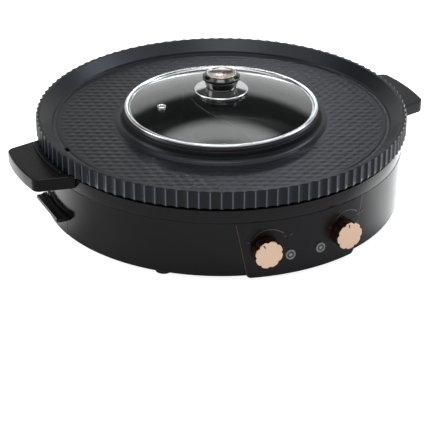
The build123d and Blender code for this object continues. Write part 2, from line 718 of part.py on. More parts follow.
# ---- Divided pot -------------------------------------------------------------------------------
floor_round = (pot_floor_radius - pot_floor_fillet, pot_floor)
wall_round = (pot_floor_radius + pot_fillet_lean, pot_floor + pot_floor_fillet)
round_mid = (pot_floor_radius - pot_floor_fillet * (1 - cos(pi / 4)) + pot_fillet_mid_lean,
             pot_floor + pot_floor_fillet * (1 - sin(pi / 4)))
outer_low_radius = pot_floor_radius - pot_floor_fillet * 0.5
pot_edges = [
    Polyline((0, 0, pot_floor), (floor_round[0], 0, floor_round[1])),
    ThreePointArc((floor_round[0], 0, floor_round[1]), (round_mid[0], 0, round_mid[1]),
                  (wall_round[0], 0, wall_round[1])),
    Polyline((wall_round[0], 0, wall_round[1]), (pot_mouth_radius, 0, pot_top),
             (pot_flange_radius, 0, pot_top), (pot_flange_radius, 0, collar_top),
             (pot_mouth_radius + pot_wall, 0, collar_top),
             (pot_floor_radius + pot_wall, 0, pot_floor + pot_floor_fillet),
             (outer_low_radius, 0, pot_bottom), (0, 0, pot_bottom), (0, 0, pot_floor)),
]
pot = revolve(make_face(pot_edges), Axis.Z, 360)
# the divider is an S of two equal arcs that meet on the axis, one bend for each half of its run
half_bend = pot_floor_radius / 2
bend_radius = (half_bend**2 + divider_swing**2) / (2 * divider_swing)
bend_centre_x = bend_radius - divider_swing
inner_turn = degrees(asin(half_bend / bend_radius))
outer_turn = degrees(asin((pot_mouth_radius + 2 * weld - half_bend) / bend_radius))


def bend_point(radius, turn, half):
    """Point of one half's arc, turned from the middle of its bend towards the axis."""
    x, y = polar(radius, turn)
    return half * (bend_centre_x - x), half * (half_bend - y)


def divider_half(half):
    """Outline of the divider's half towards +Y (half 1) or -Y (half -1)."""
    near, far = bend_radius - divider_thickness / 2, bend_radius + divider_thickness / 2
    middle = (inner_turn - outer_turn) / 2
    near_arc = [bend_point(near, turn, half) for turn in (inner_turn, middle, -outer_turn)]
    far_arc = [bend_point(far, turn, half) for turn in (-outer_turn, middle, inner_turn)]
    return make_face([ThreePointArc(*near_arc), Line(near_arc[2], far_arc[0]),
                      ThreePointArc(*far_arc), Line(far_arc[2], near_arc[0])])


divider_height = pot_top - divider_drop - pot_floor + weld
divider_plan = divider_half(1) + divider_half(-1)
divider = Pos(0, 0, pot_floor - weld) * extrude(divider_plan, divider_height)
inside = lathe([(0, pot_floor - weld), (pot_floor_radius - pot_floor_fillet * 0.4, pot_floor - weld),
                (pot_floor_radius + weld, pot_floor + pot_floor_fillet),
                (pot_mouth_radius + weld, pot_top), (0, pot_top)])
pot += divider & inside
nodes["divided_pot"] = pot

# ---- Lid ---------------------------------------------------------------------------------------
lid_low = pot_top
ring_top = lid_low + lid_ring_height
glass_low = lid_low + glass_lift
glass_edge_top = glass_low + glass_thickness
ring = lathe([(lid_skirt_radius - lid_skirt_wall, lid_low - lid_skirt_depth),
              (lid_skirt_radius, lid_low - lid_skirt_depth), (lid_skirt_radius, lid_low),
              (lid_ring_radius - lid_ring_chamfer, lid_low),
              (lid_ring_radius, lid_low + lid_ring_chamfer),
              (lid_ring_radius, ring_top - lid_ring_top_in),
              (lid_ring_radius - lid_ring_shoulder_in, ring_top - lid_ring_shoulder_drop),
              (lid_ring_radius - lid_ring_top_in, ring_top),
              (lid_ring_radius - lid_ring_lip_in, ring_top - lid_ring_lip_drop),
              (lid_ring_radius - lid_ring_bead_in, glass_edge_top + bore_gap),
              (glass_edge_radius + bore_gap, glass_edge_top + bore_gap),
              (glass_edge_radius + bore_gap, glass_low - bore_gap),
              (lid_skirt_radius - lid_skirt_wall, glass_low - bore_gap)])
nodes["lid_ring"] = ring

dome_edge = glass_edge_radius - glass_land
dome_radius = (dome_edge**2 + dome_rise**2) / (2 * dome_rise)
dome_apex = glass_edge_top + dome_rise


def dome_top(r):
    """Height of the glass's upper face at radius r."""
    return dome_apex - dome_radius + sqrt(dome_radius**2 - r**2)


def dome_under(r):
    """Height of the glass's lower face at radius r."""
    inner = dome_radius - glass_thickness
    return dome_apex - dome_radius + sqrt(inner**2 - r**2)


glass_inner_edge = dome_edge - glass_under_land
glass_edges = [
    ThreePointArc((glass_hole_radius, 0, dome_top(glass_hole_radius)),
                  (dome_edge / 2, 0, dome_top(dome_edge / 2)), (dome_edge, 0, glass_edge_top)),
    Polyline((dome_edge, 0, glass_edge_top), (glass_edge_radius, 0, glass_edge_top),
             (glass_edge_radius, 0, glass_low),
             (glass_inner_edge, 0, dome_under(glass_inner_edge))),
    ThreePointArc((glass_inner_edge, 0, dome_under(glass_inner_edge)),
                  (dome_edge / 2, 0, dome_under(dome_edge / 2)),
                  (glass_hole_radius, 0, dome_under(glass_hole_radius))),
    Line((glass_hole_radius, 0, dome_under(glass_hole_radius)),
         (glass_hole_radius, 0, dome_top(glass_hole_radius))),
]
glass = revolve(make_face(glass_edges), Axis.Z, 360)
vent_x, vent_y = polar(vent_place_radius, vent_angle)
vent_hole_radius = vent_outer_radius - vent_flange_width
glass -= post(vent_hole_radius, glass_low, dome_apex + weld, vent_x, vent_y)
nodes["lid_glass"] = glass

vent_seat = dome_top(vent_place_radius - vent_outer_radius)
vent_under = dome_under(vent_place_radius + vent_outer_radius)
vent_top = vent_seat + vent_flange_height
vent_low = vent_under - vent_mouth_chamfer
vent_stem = vent_hole_radius - bore_gap
vent_flange_low = vent_seat + vent_gap
vent_under_high = vent_under - vent_gap
vent = lathe([(vent_inner_radius, vent_low), (vent_outer_radius - vent_rivet_in, vent_low),
              (vent_outer_radius - vent_rivet_in, vent_under_high), (vent_stem, vent_under_high),
              (vent_stem, vent_flange_low), (vent_outer_radius, vent_flange_low),
              (vent_outer_radius - vent_flange_chamfer, vent_top),
              (vent_inner_radius + vent_mouth_chamfer, vent_top),
              (vent_inner_radius, vent_top - vent_mouth_chamfer)])
nodes["steam_vent"] = Pos(vent_x, vent_y, 0) * vent

plate_foot = dome_top(knob_plate_radius)
plate_high = plate_foot + knob_plate_rise
foot_width, foot_rise, shoulder_run, shoulder_rise = knob_plate_edge
plate_foot_inner = knob_plate_radius - foot_width
knob_plate = lathe([(plate_foot_inner, dome_top(plate_foot_inner) + bore_gap),
                    (knob_plate_radius, dome_top(plate_foot_inner) + bore_gap),
                    (knob_plate_radius, plate_foot + foot_rise),
                    (knob_plate_radius - shoulder_run, plate_foot + shoulder_rise),
                    (knob_plate_top_radius, plate_high),
                    (lid_screw_radius + knob_plate_hole_gap, plate_high),
                    (lid_screw_radius + knob_plate_hole_gap, plate_high - knob_plate_sheet),
                    (knob_plate_top_radius - knob_plate_bend, plate_high - knob_plate_sheet)])
nodes["lid_knob_plate"] = knob_plate

knob_top = plate_high + lid_knob_height
cap_low = knob_top - lid_cap_dish - lid_cap_wall
knob_profile = [
    Polyline((0, 0, plate_high), (lid_knob_foot_radius, 0, plate_high),
             (lid_knob_waist_radius, 0, plate_high + lid_knob_height * 0.5),
             (lid_knob_radius - lid_knob_edge, 0, plate_high + lid_knob_height * 0.62)),
    ThreePointArc((lid_knob_radius - lid_knob_edge, 0, plate_high + lid_knob_height * 0.62),
                  (lid_knob_radius, 0, plate_high + lid_knob_height * 0.76),
                  (lid_cap_radius + lid_knob_crown, 0, knob_top)),
    Polyline((lid_cap_radius + lid_knob_crown, 0, knob_top),
             (lid_cap_radius + lid_cap_gap, 0, knob_top),
             (lid_cap_radius + lid_cap_gap, 0, cap_low), (0, 0, cap_low), (0, 0, plate_high)),
]
lid_knob = revolve(make_face(knob_profile), Axis.Z, 360)
lid_knob -= post(lid_screw_radius + bore_gap, plate_high, plate_high + lid_screw_depth + seat_gap)
nodes["lid_knob"] = lid_knob

edge_in, bead_in, dish_in = lid_cap_edge_in
cap = lathe([(0, cap_low), (lid_cap_radius, cap_low),
             (lid_cap_radius, knob_top + lid_cap_height * 0.4),
             (lid_cap_radius - edge_in, knob_top + lid_cap_height),
             (lid_cap_radius - bead_in, knob_top + lid_cap_height * 0.6),
             (lid_cap_radius - dish_in, knob_top - lid_cap_dish * 0.35),
             (lid_cap_radius * 0.35, knob_top - lid_cap_dish), (0, knob_top - lid_cap_dish)])
nodes["lid_knob_cap"] = cap

washer_top = dome_under(lid_washer_radius) - bore_gap
washer_low = washer_top - lid_washer_thickness
nodes["lid_washer"] = tube(lid_washer_radius, lid_screw_radius + bore_gap, washer_low, washer_top)
screw_reach = plate_high + lid_screw_depth - washer_low
nodes["lid_screw"] = Pos(0, 0, washer_low) * pan_screw(screw_reach, lid_screw_radius)

# ---- Heat shield, grill element and clips --------------------------------------------------------
shield_floor = ledge_under - shield_depth
shield = lathe([(shield_outer_radius, ledge_under - shield_sheet),
                (shield_outer_radius, ledge_under), (shield_wall_radius - shield_sheet, ledge_under),
                (shield_wall_radius - shield_sheet, shield_floor),
                (shield_inner_radius, shield_floor), (shield_inner_radius, shield_floor - shield_sheet),
                (shield_wall_radius, shield_floor - shield_sheet),
                (shield_wall_radius, ledge_under - shield_sheet)])
chute_out = gutter_radius + chute_width / 2
chute_in = gutter_radius - chute_width / 2
shield -= block(-shield_outer_radius - weld, -chute_in + seat_gap, -chute_length / 2 - seat_gap,
                chute_length / 2 + seat_gap, 0, rim_top)
element_height = floor_under - element_radius - seat_gap
leg_low = element_height - element_leg
leg_places = []
for side in (-1, 1):
    leg_places.append(polar(element_circle, -90 + side * element_gap_angle / 2))
for x, y in leg_places:
    shield -= post(element_radius + element_leg_gap, 0, rim_top, x, y)
nodes["heat_shield"] = shield

ring_section = Pos(element_circle, 0, element_height) * Rot(90, 0, 0) * Circle(element_radius)
ring_start = -90 + element_gap_angle / 2
element = revolve(Rot(0, 0, ring_start) * ring_section, Axis.Z, 360 - element_gap_angle)
for x, y in leg_places:
    element += Pos(x, y, element_height) * Sphere(element_radius)
    element += post(element_radius, leg_low, element_height, x, y)
nodes["grill_element"] = element

clips = Part()
clip_ring = Torus(element_circle, element_radius + clip_gap)
for angle in clip_angles:
    clip = block(element_circle - clip_width / 2, element_circle + clip_width / 2,
                 -clip_length / 2, clip_length / 2, shield_floor, element_height)
    clips += Rot(0, 0, angle) * clip - Pos(0, 0, element_height) * clip_ring
nodes["element_clips"] = clips

# ---- Pot well, pot heater and their posts ----------------------------------------------------------
well_top = shield_floor
nodes["pot_well"] = lathe([(well_hole_radius, well_floor_height), (well_radius, well_floor_height),
                           (well_radius, well_top), (well_flange_radius, well_top),
                           (well_flange_radius, well_top + shield_sheet),
                           (well_radius - shield_sheet, well_top + shield_sheet),
                           (well_radius - shield_sheet, well_floor_height + shield_sheet),
                           (well_hole_radius, well_floor_height + shield_sheet)])
heater_top = pot_bottom
heater_low = heater_top - heater_thickness
well_posts = Part()
heater_posts = Part()
for i in range(post_count):
    turn = 360 / post_count * i + 90
    x, y = polar(well_post_circle, turn)
    well_posts += post(well_post_radius, cover_top, well_floor_height, x, y)
    x, y = polar(heater_post_circle, turn)
    heater_posts += post(heater_post_radius, well_floor_height + shield_sheet, heater_low, x, y)
nodes["well_posts"] = well_posts
nodes["heater_supports"] = heater_posts
heater = post(heater_radius, heater_low, heater_top)
heater = fillet(heater.faces().sort_by(Axis.Z)[-1].edges(), heater_edge)
heater += Pos(0, 0, heater_low) * Torus(heater_ring_circle, heater_ring_radius)
for side in (-1, 1):
    heater += post(heater_pin_radius, well_floor_height + heater_pin_clear, heater_low + weld,
                   side * heater_pin_spacing / 2, 0)
nodes["pot_heater_plate"] = heater

# ---- Drip tray, its guide and the drain chute ------------------------------------------------------
tray_outer = wall_foot_radius + wall_draft * (tray_top - base_bottom) / (seam - base_bottom)
tray_back = tray_outer - tray_length
tray_floor = tray_low + tray_floor_lift
front_sag = tray_outer - sqrt(tray_outer**2 - tray_half_width**2)
front_lean = tray_outer - wall_foot_radius
tray_box = block(-tray_outer - weld, -tray_back, -tray_half_width, tray_half_width,
                 tray_floor, tray_top)
front_slab_back = tray_front + front_sag + front_lean + weld
front_slab = block(-tray_outer - weld, -tray_outer + front_slab_back, -tray_half_width,
                   tray_half_width, tray_low, tray_top)
body_round = wall_cone()
inner_round = wall_cone(tray_front)
tray = tray_box & body_round
tray = fillet(upright_edges(tray, lambda c: c.X > -tray_back - weld), tray_corner)
hollow = block(-tray_outer - weld, -tray_back - tray_wall, -tray_half_width + tray_wall,
               tray_half_width - tray_wall, tray_floor + tray_wall, tray_top + weld) & inner_round
hollow = fillet(upright_edges(hollow, lambda c: c.X > -tray_back - tray_wall - weld),
                tray_corner / 2)
tray -= hollow
tray += (front_slab & body_round) - inner_round
lip_root = tray_outer - lip_overlap
lip_tip = tray_outer + lip_reach
lip_low = tray_top - lip_drop
lip_high = tray_top + lip_rise
tip_width, tip_height = lip_tip_edge
top_in, top_drop = lip_tip_top
dish_out, dish_drop = lip_dish
lip_side = make_face(Polyline((-lip_root, 0, lip_low), (-lip_root, 0, lip_high),
                              (-tray_outer - slide_gap - weld, 0, lip_high),
                              (-tray_outer - dish_out, 0, lip_high - dish_drop),
                              (-lip_tip + top_in, 0, lip_high - top_drop),
                              (-lip_tip, 0, lip_low + tip_height),
                              (-lip_tip + tip_width, 0, lip_low), close=True))
lip = extrude(lip_side, lip_half_width, dir=(0, 1, 0)) + extrude(lip_side, lip_half_width,
                                                                dir=(0, -1, 0))
lip_plan = Pos(-lip_tip + clear_of_wall / 2 - weld, 0) * Rectangle(clear_of_wall, 2 * lip_half_width)
lip_plan = fillet(lip_plan.vertices().group_by(Axis.X)[0], lip_corner)
lip = lip & extrude(lip_plan, rim_top)
lip -= post(tray_outer + slide_gap, 0, rim_top) - block(
    -past_wall, 0, -tray_half_width, tray_half_width, 0, tray_top)
tray += lip - inner_round
for x in (-tray_outer + tray_boss_inset, -tray_back - tray_boss_inset):
    for side in (-1, 1):
        tray += post(tray_boss_radius, tray_floor + tray_wall / 2,
                     tray_floor + tray_wall + tray_boss_height, x,
                     side * (tray_half_width - tray_boss_inset))
nodes["drip_tray"] = tray

guide_half = tray_half_width + slide_gap
guide_back = tray_back - slide_gap
guide_top = tray_top + slide_gap
guide = block(-guide_front, -guide_back + guide_wall, -guide_half - guide_wall,
              guide_half + guide_wall, cover_top, guide_top + guide_wall)
guide = guide & post(guide_front, cover_top, guide_top + guide_wall)
guide -= block(-guide_front - weld, -guide_back, -guide_half, guide_half, tray_floor, guide_top)
guide -= block(-chute_out + chute_wall, -chute_in - chute_wall, -chute_length / 2 + chute_wall,
               chute_length / 2 - chute_wall, guide_top - weld, guide_top + 2 * guide_wall)
nodes["tray_guide"] = guide

chute_low = guide_top + guide_wall
chute_top = gutter - plate_wall - seat_gap
chute = block(-chute_out, -chute_in, -chute_length / 2, chute_length / 2, chute_low, chute_top)
chute -= block(-chute_out + chute_wall, -chute_in - chute_wall, -chute_length / 2 + chute_wall,
               chute_length / 2 - chute_wall, chute_low - weld, chute_top + weld)
nodes["drain_chute"] = chute

# ---- Mains inlet -------------------------------------------------------------------------------------
socket = block(-flange_width / 2, flange_width / 2, inlet_seat, inlet_seat + flange_depth,
               inlet_low, inlet_high)
socket += block(-shroud_width / 2, shroud_width / 2, inlet_seat - inlet_back, inlet_reach,
                inlet_height - shroud_height / 2, inlet_height + shroud_height / 2)
socket = fillet(socket.faces().sort_by(Axis.Y)[-1].edges(), inlet_edge)
recess_width, recess_height = inlet_recess
recess_floor = inlet_reach - inlet_recess_depth
recess_plan = Rectangle(recess_width, recess_height)
recess_plan = chamfer(recess_plan.vertices().group_by(Axis.Y)[-1], inlet_key)
recess_face = Plane(origin=(0, recess_floor, inlet_height), x_dir=(1, 0, 0),
                    z_dir=(0, -1, 0)).location
socket -= recess_face * extrude(recess_plan, -inlet_recess_depth)
pin_width, pin_length, pin_thickness = pin_size
pin_places = [(-pin_spread, -pin_lift), (pin_spread, -pin_lift), (0, pin_lift)]
pins = Part()
pin_back = inlet_seat - inlet_back - tab_length
for x, z in pin_places:
    pin = block(x - pin_thickness / 2, x + pin_thickness / 2, pin_back,
                recess_floor + pin_length, inlet_height + z - pin_width / 2,
                inlet_height + z + pin_width / 2)
    pins += pin
    socket -= block(x - pin_thickness / 2 - bore_gap, x + pin_thickness / 2 + bore_gap,
                    pin_back, recess_floor + weld, inlet_height + z - pin_width / 2 - bore_gap,
                    inlet_height + z + pin_width / 2 + bore_gap)
for side in (-1, 1):
    hole = Rot(-90, 0, 0) * post(screw_radius + bore_gap, behind_seat, past_seat)
    socket -= Pos(side * inlet_screw_offset, 0, inlet_height) * hole
nodes["inlet_socket"] = socket
nodes["inlet_pins"] = pins
screws = Part()
for side in (-1, 1):
    place = Pos(side * inlet_screw_offset, inlet_seat + flange_depth, inlet_height)
    screws += place * Rot(90, 0, 0) * pan_screw(inlet_screw_length)
nodes["inlet_screws"] = screws

# ---- Connector, lead and plug ---------------------------------------------------------------------------
body_x, body_y, body_z = connector_body
nose_plan = Rectangle(recess_width - 2 * connector_nose_gap, recess_height - 2 * connector_nose_gap)
nose_plan = chamfer(nose_plan.vertices().group_by(Axis.Y)[-1], inlet_key)
connector_face = inlet_reach + seat_gap
nose_tip = recess_floor + connector_tip_gap
nose_place = Plane(origin=(0, nose_tip, inlet_height), x_dir=(1, 0, 0), z_dir=(0, -1, 0)).location
grip_plane = Plane(origin=(0, connector_face, inlet_height), x_dir=(1, 0, 0), z_dir=(0, -1, 0))
grip_end = connector_face + body_y
end_plane = Plane(origin=(0, grip_end, inlet_height), x_dir=(1, 0, 0), z_dir=(0, -1, 0))
taper_x, taper_z = connector_taper
grip_large = grip_plane * RectangleRounded(body_x, body_z, connector_corner)
grip_small = end_plane * RectangleRounded(body_x * taper_x, body_z * taper_z, connector_corner)
connector = loft([grip_large, grip_small])
connector += nose_place * extrude(nose_plan, -(connector_face - nose_tip + weld))
for x, z in pin_places:
    connector -= block(x - pin_thickness / 2 - slide_gap, x + pin_thickness / 2 + slide_gap,
                       nose_tip - weld, recess_floor + pin_length + weld,
                       inlet_height + z - pin_width / 2 - slide_gap,
                       inlet_height + z + pin_width / 2 + slide_gap)
nodes["lead_connector"] = connector


def strain_relief(length, root, tip):
    """Tapered ribbed sleeve along +Z."""
    ribs = 5
    pitch = length / ribs
    outline = [(0, 0)]
    for i in range(ribs):
        r = root + (tip - root) * (i + 0.5) / ribs
        outline += [(r, pitch * i), (r, pitch * (i + 0.7)), (r - 0.9, pitch * (i + 0.7)),
                    (r - 0.9, pitch * (i + 1))]
    return lathe(outline + [(0, length)])


relief_place = Pos(0, grip_end, inlet_height) * Rot(-90, 0, 0)
nodes["connector_relief"] = relief_place * strain_relief(relief_length, relief_root_radius,
                                                        relief_tip_radius)

# route of the lead: out of the connector, down to the table, one loose loop, then to the plug
lead_start = grip_end + relief_length
lead_rest = lead_radius
plug_axis = plug_body[2] / 2
route = [
    (0, lead_start, inlet_height),
    (0, lead_start + 27, inlet_height),
    (1, lead_start + 52, inlet_height - 11),
    (3, lead_start + 76, inlet_height - 25),
    (14, lead_start + 103, lead_rest),
    (42, lead_start + 130, lead_rest),
    (84, lead_start + 138, lead_rest),
    (123, lead_start + 118, lead_rest),
    (140, lead_start + 78, lead_rest),
    (124, lead_start + 39, lead_rest),
    (86, lead_start + 19, lead_rest),
    (44, lead_start + 13, lead_rest),
    (6, lead_start + 9, lead_rest + 0.8),
    (-27, lead_start + 1, plug_axis),
    (-56, lead_start - 10, plug_axis),
]


def bend_radii(points):
    """Largest tangent arc at each inner point: 0.45 of the shorter run over tan(turn / 2)."""
    radii = []
    for a, b, c in zip(points, points[1:], points[2:]):
        run_in = Vector(*b) - Vector(*a)
        run_out = Vector(*c) - Vector(*b)
        turn = radians(run_in.get_angle(run_out))
        radii.append(0.45 * min(run_in.length, run_out.length) / tan(turn / 2))
    return radii


lead_radii = bend_radii(route)
lead_line = FilletPolyline(*route, radius=lead_radii)
start_plane = Plane(origin=lead_line @ 0, z_dir=lead_line % 0)
lead = sweep(start_plane * Circle(lead_radius), path=lead_line)
nodes["lead_cord"] = lead
section = pi * lead_radius**2
print("lead bend radii:", [round(r) for r in lead_radii])
print("lead length:", round(lead_line.length, 1), "volume / (section x length):",
      round(lead.volume / (section * lead_line.length), 4))

tail = Vector(*route[-1]) - Vector(*route[-2])
plug_heading = degrees(atan2(tail.Y, tail.X))
plug_place = Pos(*route[-1]) * Rot(0, 0, plug_heading) * Rot(0, 90, 0)
plug_length, plug_width, plug_depth = plug_body
nodes["plug_relief"] = Pos(*route[-1]) * Rot(0, 0, plug_heading) * (
    Rot(0, 90, 0) * Pos(0, 0, plug_relief_length) * Rot(180, 0, 0)
    * strain_relief(plug_relief_length, relief_root_radius, relief_tip_radius))
plug = extrude(RectangleRounded(plug_depth, plug_width, plug_corner), plug_length)
plug = fillet(plug.faces().sort_by(Axis.Z)[0].edges(), plug_edge)
nodes["plug_body"] = plug_place * Pos(0, 0, plug_relief_length) * plug
blade_length, blade_thickness, blade_width = blade_size
blade_low = plug_relief_length + plug_length
blades = Part()
for side in (-1, 1):
    blades += Pos(-plug_blade_offset, side * blade_spread, blade_low) * block(
        -blade_width / 2, blade_width / 2, -blade_thickness / 2, blade_thickness / 2,
        0, blade_length)
earth = post(earth_pin_radius, 0, earth_pin_length)
earth = fillet(earth.faces().sort_by(Axis.Z)[-1].edges(), earth_pin_radius * 0.8)
blades += Pos(earth_pin_offset - plug_blade_offset, 0, blade_low) * earth
nodes["plug_blades"] = plug_place * blades

# ---- Terminal block, thermal fuse and internal wiring -----------------------------------------
terminal_y = inlet_seat - terminal_set_in
terminal_top = cover_top + terminal_size[2]
terminal = Pos(terminal_x, terminal_y, cover_top + terminal_size[2] / 2) * Box(*terminal_size)
ways = [terminal_x + terminal_pitch * (i - (terminal_ways - 1) / 2) for i in range(terminal_ways)]
for x in ways:
    terminal -= post(terminal_hole_radius, cover_top + terminal_web, terminal_top + weld, x, terminal_y)
nodes["terminal_block"] = terminal
fuse_height = well_floor_height - fuse_radius - seat_gap
nodes["thermal_fuse"] = Pos(fuse_place, 0, fuse_height) * Rot(0, 90, 0) * Cylinder(fuse_radius,
                                                                                 fuse_length)


def wire(*points):
    """Insulated wire through the points, its corners rounded as far as the runs allow."""
    line = FilletPolyline(*points, radius=bend_radii(points))
    return sweep(Plane(origin=line @ 0, z_dir=line % 0) * Circle(wire_radius), path=line)


def tab_end(frame, side):
    """Point just behind one of a thermostat's two tabs."""
    place = Pos(side * thermostat_tab_spread, -thermostat_tab_spread, tab_back - wire_end_gap)
    return tuple((frame * place).position)


under_well = well_floor_height - 12
leg_end = leg_low - wire_end_gap
pin_end = well_floor_height + heater_pin_clear - wire_end_gap
pin_x = heater_pin_spacing / 2
fuse_end = fuse_length / 2 + wire_end_gap
inlet_end = pin_back - wire_end_gap
way_end = cover_top + terminal_web + terminal_wire_lift
outside_well = well_flange_radius + 26
left_frame, right_frame = knob_frames
left_tab, left_inner_tab = tab_end(left_frame, -1), tab_end(left_frame, 1)
right_inner_tab, right_tab = tab_end(right_frame, -1), tab_end(right_frame, 1)
(left_leg_x, leg_y), (right_leg_x, _) = leg_places
wires = Part()
wires += wire((-pin_spread, inlet_end, inlet_height - pin_lift),
              (-pin_spread, inlet_end - 12, inlet_height - pin_lift + 1),
              (ways[0] - 18, terminal_y + 9, terminal_top + 14),
              (ways[0], terminal_y, terminal_top + 12), (ways[0], terminal_y, way_end))
wires += wire((pin_spread, inlet_end, inlet_height - pin_lift),
              (pin_spread, inlet_end - 9, inlet_height - pin_lift + 2),
              (ways[1] - 10, terminal_y + 12, terminal_top + 20),
              (ways[1], terminal_y, terminal_top + 14), (ways[1], terminal_y, way_end))
wires += wire((ways[2], terminal_y, way_end), (ways[2], terminal_y, terminal_top + 20),
              (outside_well * 0.75, outside_well * 0.66, terminal_top + 18),
              (outside_well, 0, terminal_top + 8),
              (outside_well * 0.72, -outside_well * 0.74, right_tab[2] - 4),
              (right_tab[0] + 4, right_tab[1] + 16, right_tab[2]), right_tab)
wires += wire(right_inner_tab, (right_inner_tab[0], right_inner_tab[1] + 12, right_inner_tab[2] + 3),
              (right_leg_x, leg_y, right_inner_tab[2] + 14), (right_leg_x, leg_y, leg_end))
wires += wire(left_inner_tab, (left_inner_tab[0], left_inner_tab[1] + 12, left_inner_tab[2] + 3),
              (left_leg_x, leg_y, left_inner_tab[2] + 14), (left_leg_x, leg_y, leg_end))
wires += wire(left_tab, (left_tab[0], left_tab[1] + 14, left_tab[2] - 4),
              (left_tab[0] + 12, -well_radius, under_well), (-pin_x - 20, -38, under_well - 2),
              (-pin_x, 0, under_well), (-pin_x, 0, pin_end))
wires += wire((pin_x, 0, pin_end), (pin_x, 0, under_well),
              (fuse_place - fuse_end - 16, 0, under_well + 2),
              (fuse_place - fuse_end - 8, 0, fuse_height), (fuse_place - fuse_end, 0, fuse_height))
wires += wire((fuse_place + fuse_end, 0, fuse_height), (fuse_place + fuse_end + 9, 3, fuse_height - 1),
              (ways[3] + 12, well_radius * 0.6, under_well + 4),
              (ways[3], terminal_y, terminal_top + 6), (ways[3], terminal_y, way_end))
nodes["internal_wiring"] = wires

for name, shape in nodes.items():
    shape.label = name
    export_step(shape, f"parts/{name}.step")
print(len(nodes), "nodes")
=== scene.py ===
import json
import math

import bmesh
import bpy
import numpy as np
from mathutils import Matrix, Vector


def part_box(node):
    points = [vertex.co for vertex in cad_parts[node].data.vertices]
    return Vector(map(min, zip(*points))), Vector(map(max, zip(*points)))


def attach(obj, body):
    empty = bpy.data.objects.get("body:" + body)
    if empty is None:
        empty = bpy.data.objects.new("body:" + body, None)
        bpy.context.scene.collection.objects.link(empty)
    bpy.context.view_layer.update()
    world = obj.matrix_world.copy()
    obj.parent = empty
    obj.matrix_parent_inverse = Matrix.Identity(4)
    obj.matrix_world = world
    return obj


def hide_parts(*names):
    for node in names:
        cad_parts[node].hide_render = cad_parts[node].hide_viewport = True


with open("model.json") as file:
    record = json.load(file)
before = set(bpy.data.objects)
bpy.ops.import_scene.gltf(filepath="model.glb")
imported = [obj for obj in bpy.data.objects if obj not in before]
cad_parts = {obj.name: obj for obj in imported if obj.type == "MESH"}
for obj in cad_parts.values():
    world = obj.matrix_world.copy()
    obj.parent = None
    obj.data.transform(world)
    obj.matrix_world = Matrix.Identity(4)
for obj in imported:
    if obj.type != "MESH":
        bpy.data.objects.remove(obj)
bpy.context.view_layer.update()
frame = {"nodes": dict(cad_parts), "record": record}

scene = bpy.context.scene
scene.view_settings.view_transform = "Standard"

# ---- Camera ---------------------------------------------------------------------------------
# A long lens a little above the pot, turned so that the control panel stands right of the
# middle. The aim is below the rim, because the pot fills the upper part of the frame.
camera_turn = math.radians(-25.86)
camera_lift = math.radians(24.55)
camera_distance = 2.1364
focal_pixels = 1714.9
frame_pixels = 430.0
rim_middle_offset = (6.1, 107.3)    # the rim's middle, right of and above the frame's middle

rim_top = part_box("grill_plate")[1].z
rim_middle = Vector((0.0, 0.0, rim_top))
camera_right = Vector((math.cos(camera_turn), math.sin(camera_turn), 0.0))
camera_away = Vector((-math.sin(camera_turn), math.cos(camera_turn), 0.0))
camera_back = Vector((math.sin(camera_turn) * math.cos(camera_lift),
                      -math.cos(camera_turn) * math.cos(camera_lift), math.sin(camera_lift)))
camera_up = camera_back.cross(camera_right)
pixel = camera_distance / focal_pixels
aim = (rim_middle - camera_right * rim_middle_offset[0] * pixel
       - camera_up * rim_middle_offset[1] * pixel)
camera = bpy.data.objects.new("camera", bpy.data.cameras.new("camera"))
scene.collection.objects.link(camera)
camera.location = rim_middle + camera_back * camera_distance
camera.rotation_euler = (aim - camera.location).to_track_quat("-Z", "Y").to_euler()
camera.data.sensor_width = 36.0
camera.data.lens = focal_pixels / frame_pixels * camera.data.sensor_width
scene.camera = camera

# ---- Mains lead -----------------------------------------------------------------------------
# Round black PVC lead, 8.3 mm thick and half a metre long. It leaves the connector behind the
# housing, drops to the table and lies in one loose loop up to its moulded plug.
MM = 0.001
lead_radius = 4.15 * MM
lead_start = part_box("connector_relief")[1].y


def linear(colour):
    """sRGB hex text as linear RGBA: each channel is undone from the sRGB curve."""
    channels = [int(colour[i:i + 2], 16) / 255 for i in (1, 3, 5)]
    return [c / 12.92 if c <= 0.04045 else ((c + 0.055) / 1.055)**2.4 for c in channels] + [1.0]


def add(tree, kind, inputs=None, **settings):
    """Adds one node, sets its settings, and sets or links the inputs given by name or number."""
    node = tree.nodes.new(kind)
    for key, value in settings.items():
        setattr(node, key, value)
    for key, value in (inputs or {}).items():
        if isinstance(value, bpy.types.NodeSocket):
            tree.links.new(value, node.inputs[key])
        else:
            node.inputs[key].default_value = value
    return node


def new_material(name, **sockets):
    """Material with one Principled shader, its sockets set from words such as Base_Color."""
    material = bpy.data.materials.new(name)
    material.use_nodes = True
    shader = material.node_tree.nodes["Principled BSDF"]
    for key, value in sockets.items():
        shader.inputs[key.replace("_", " ")].default_value = value
    return material


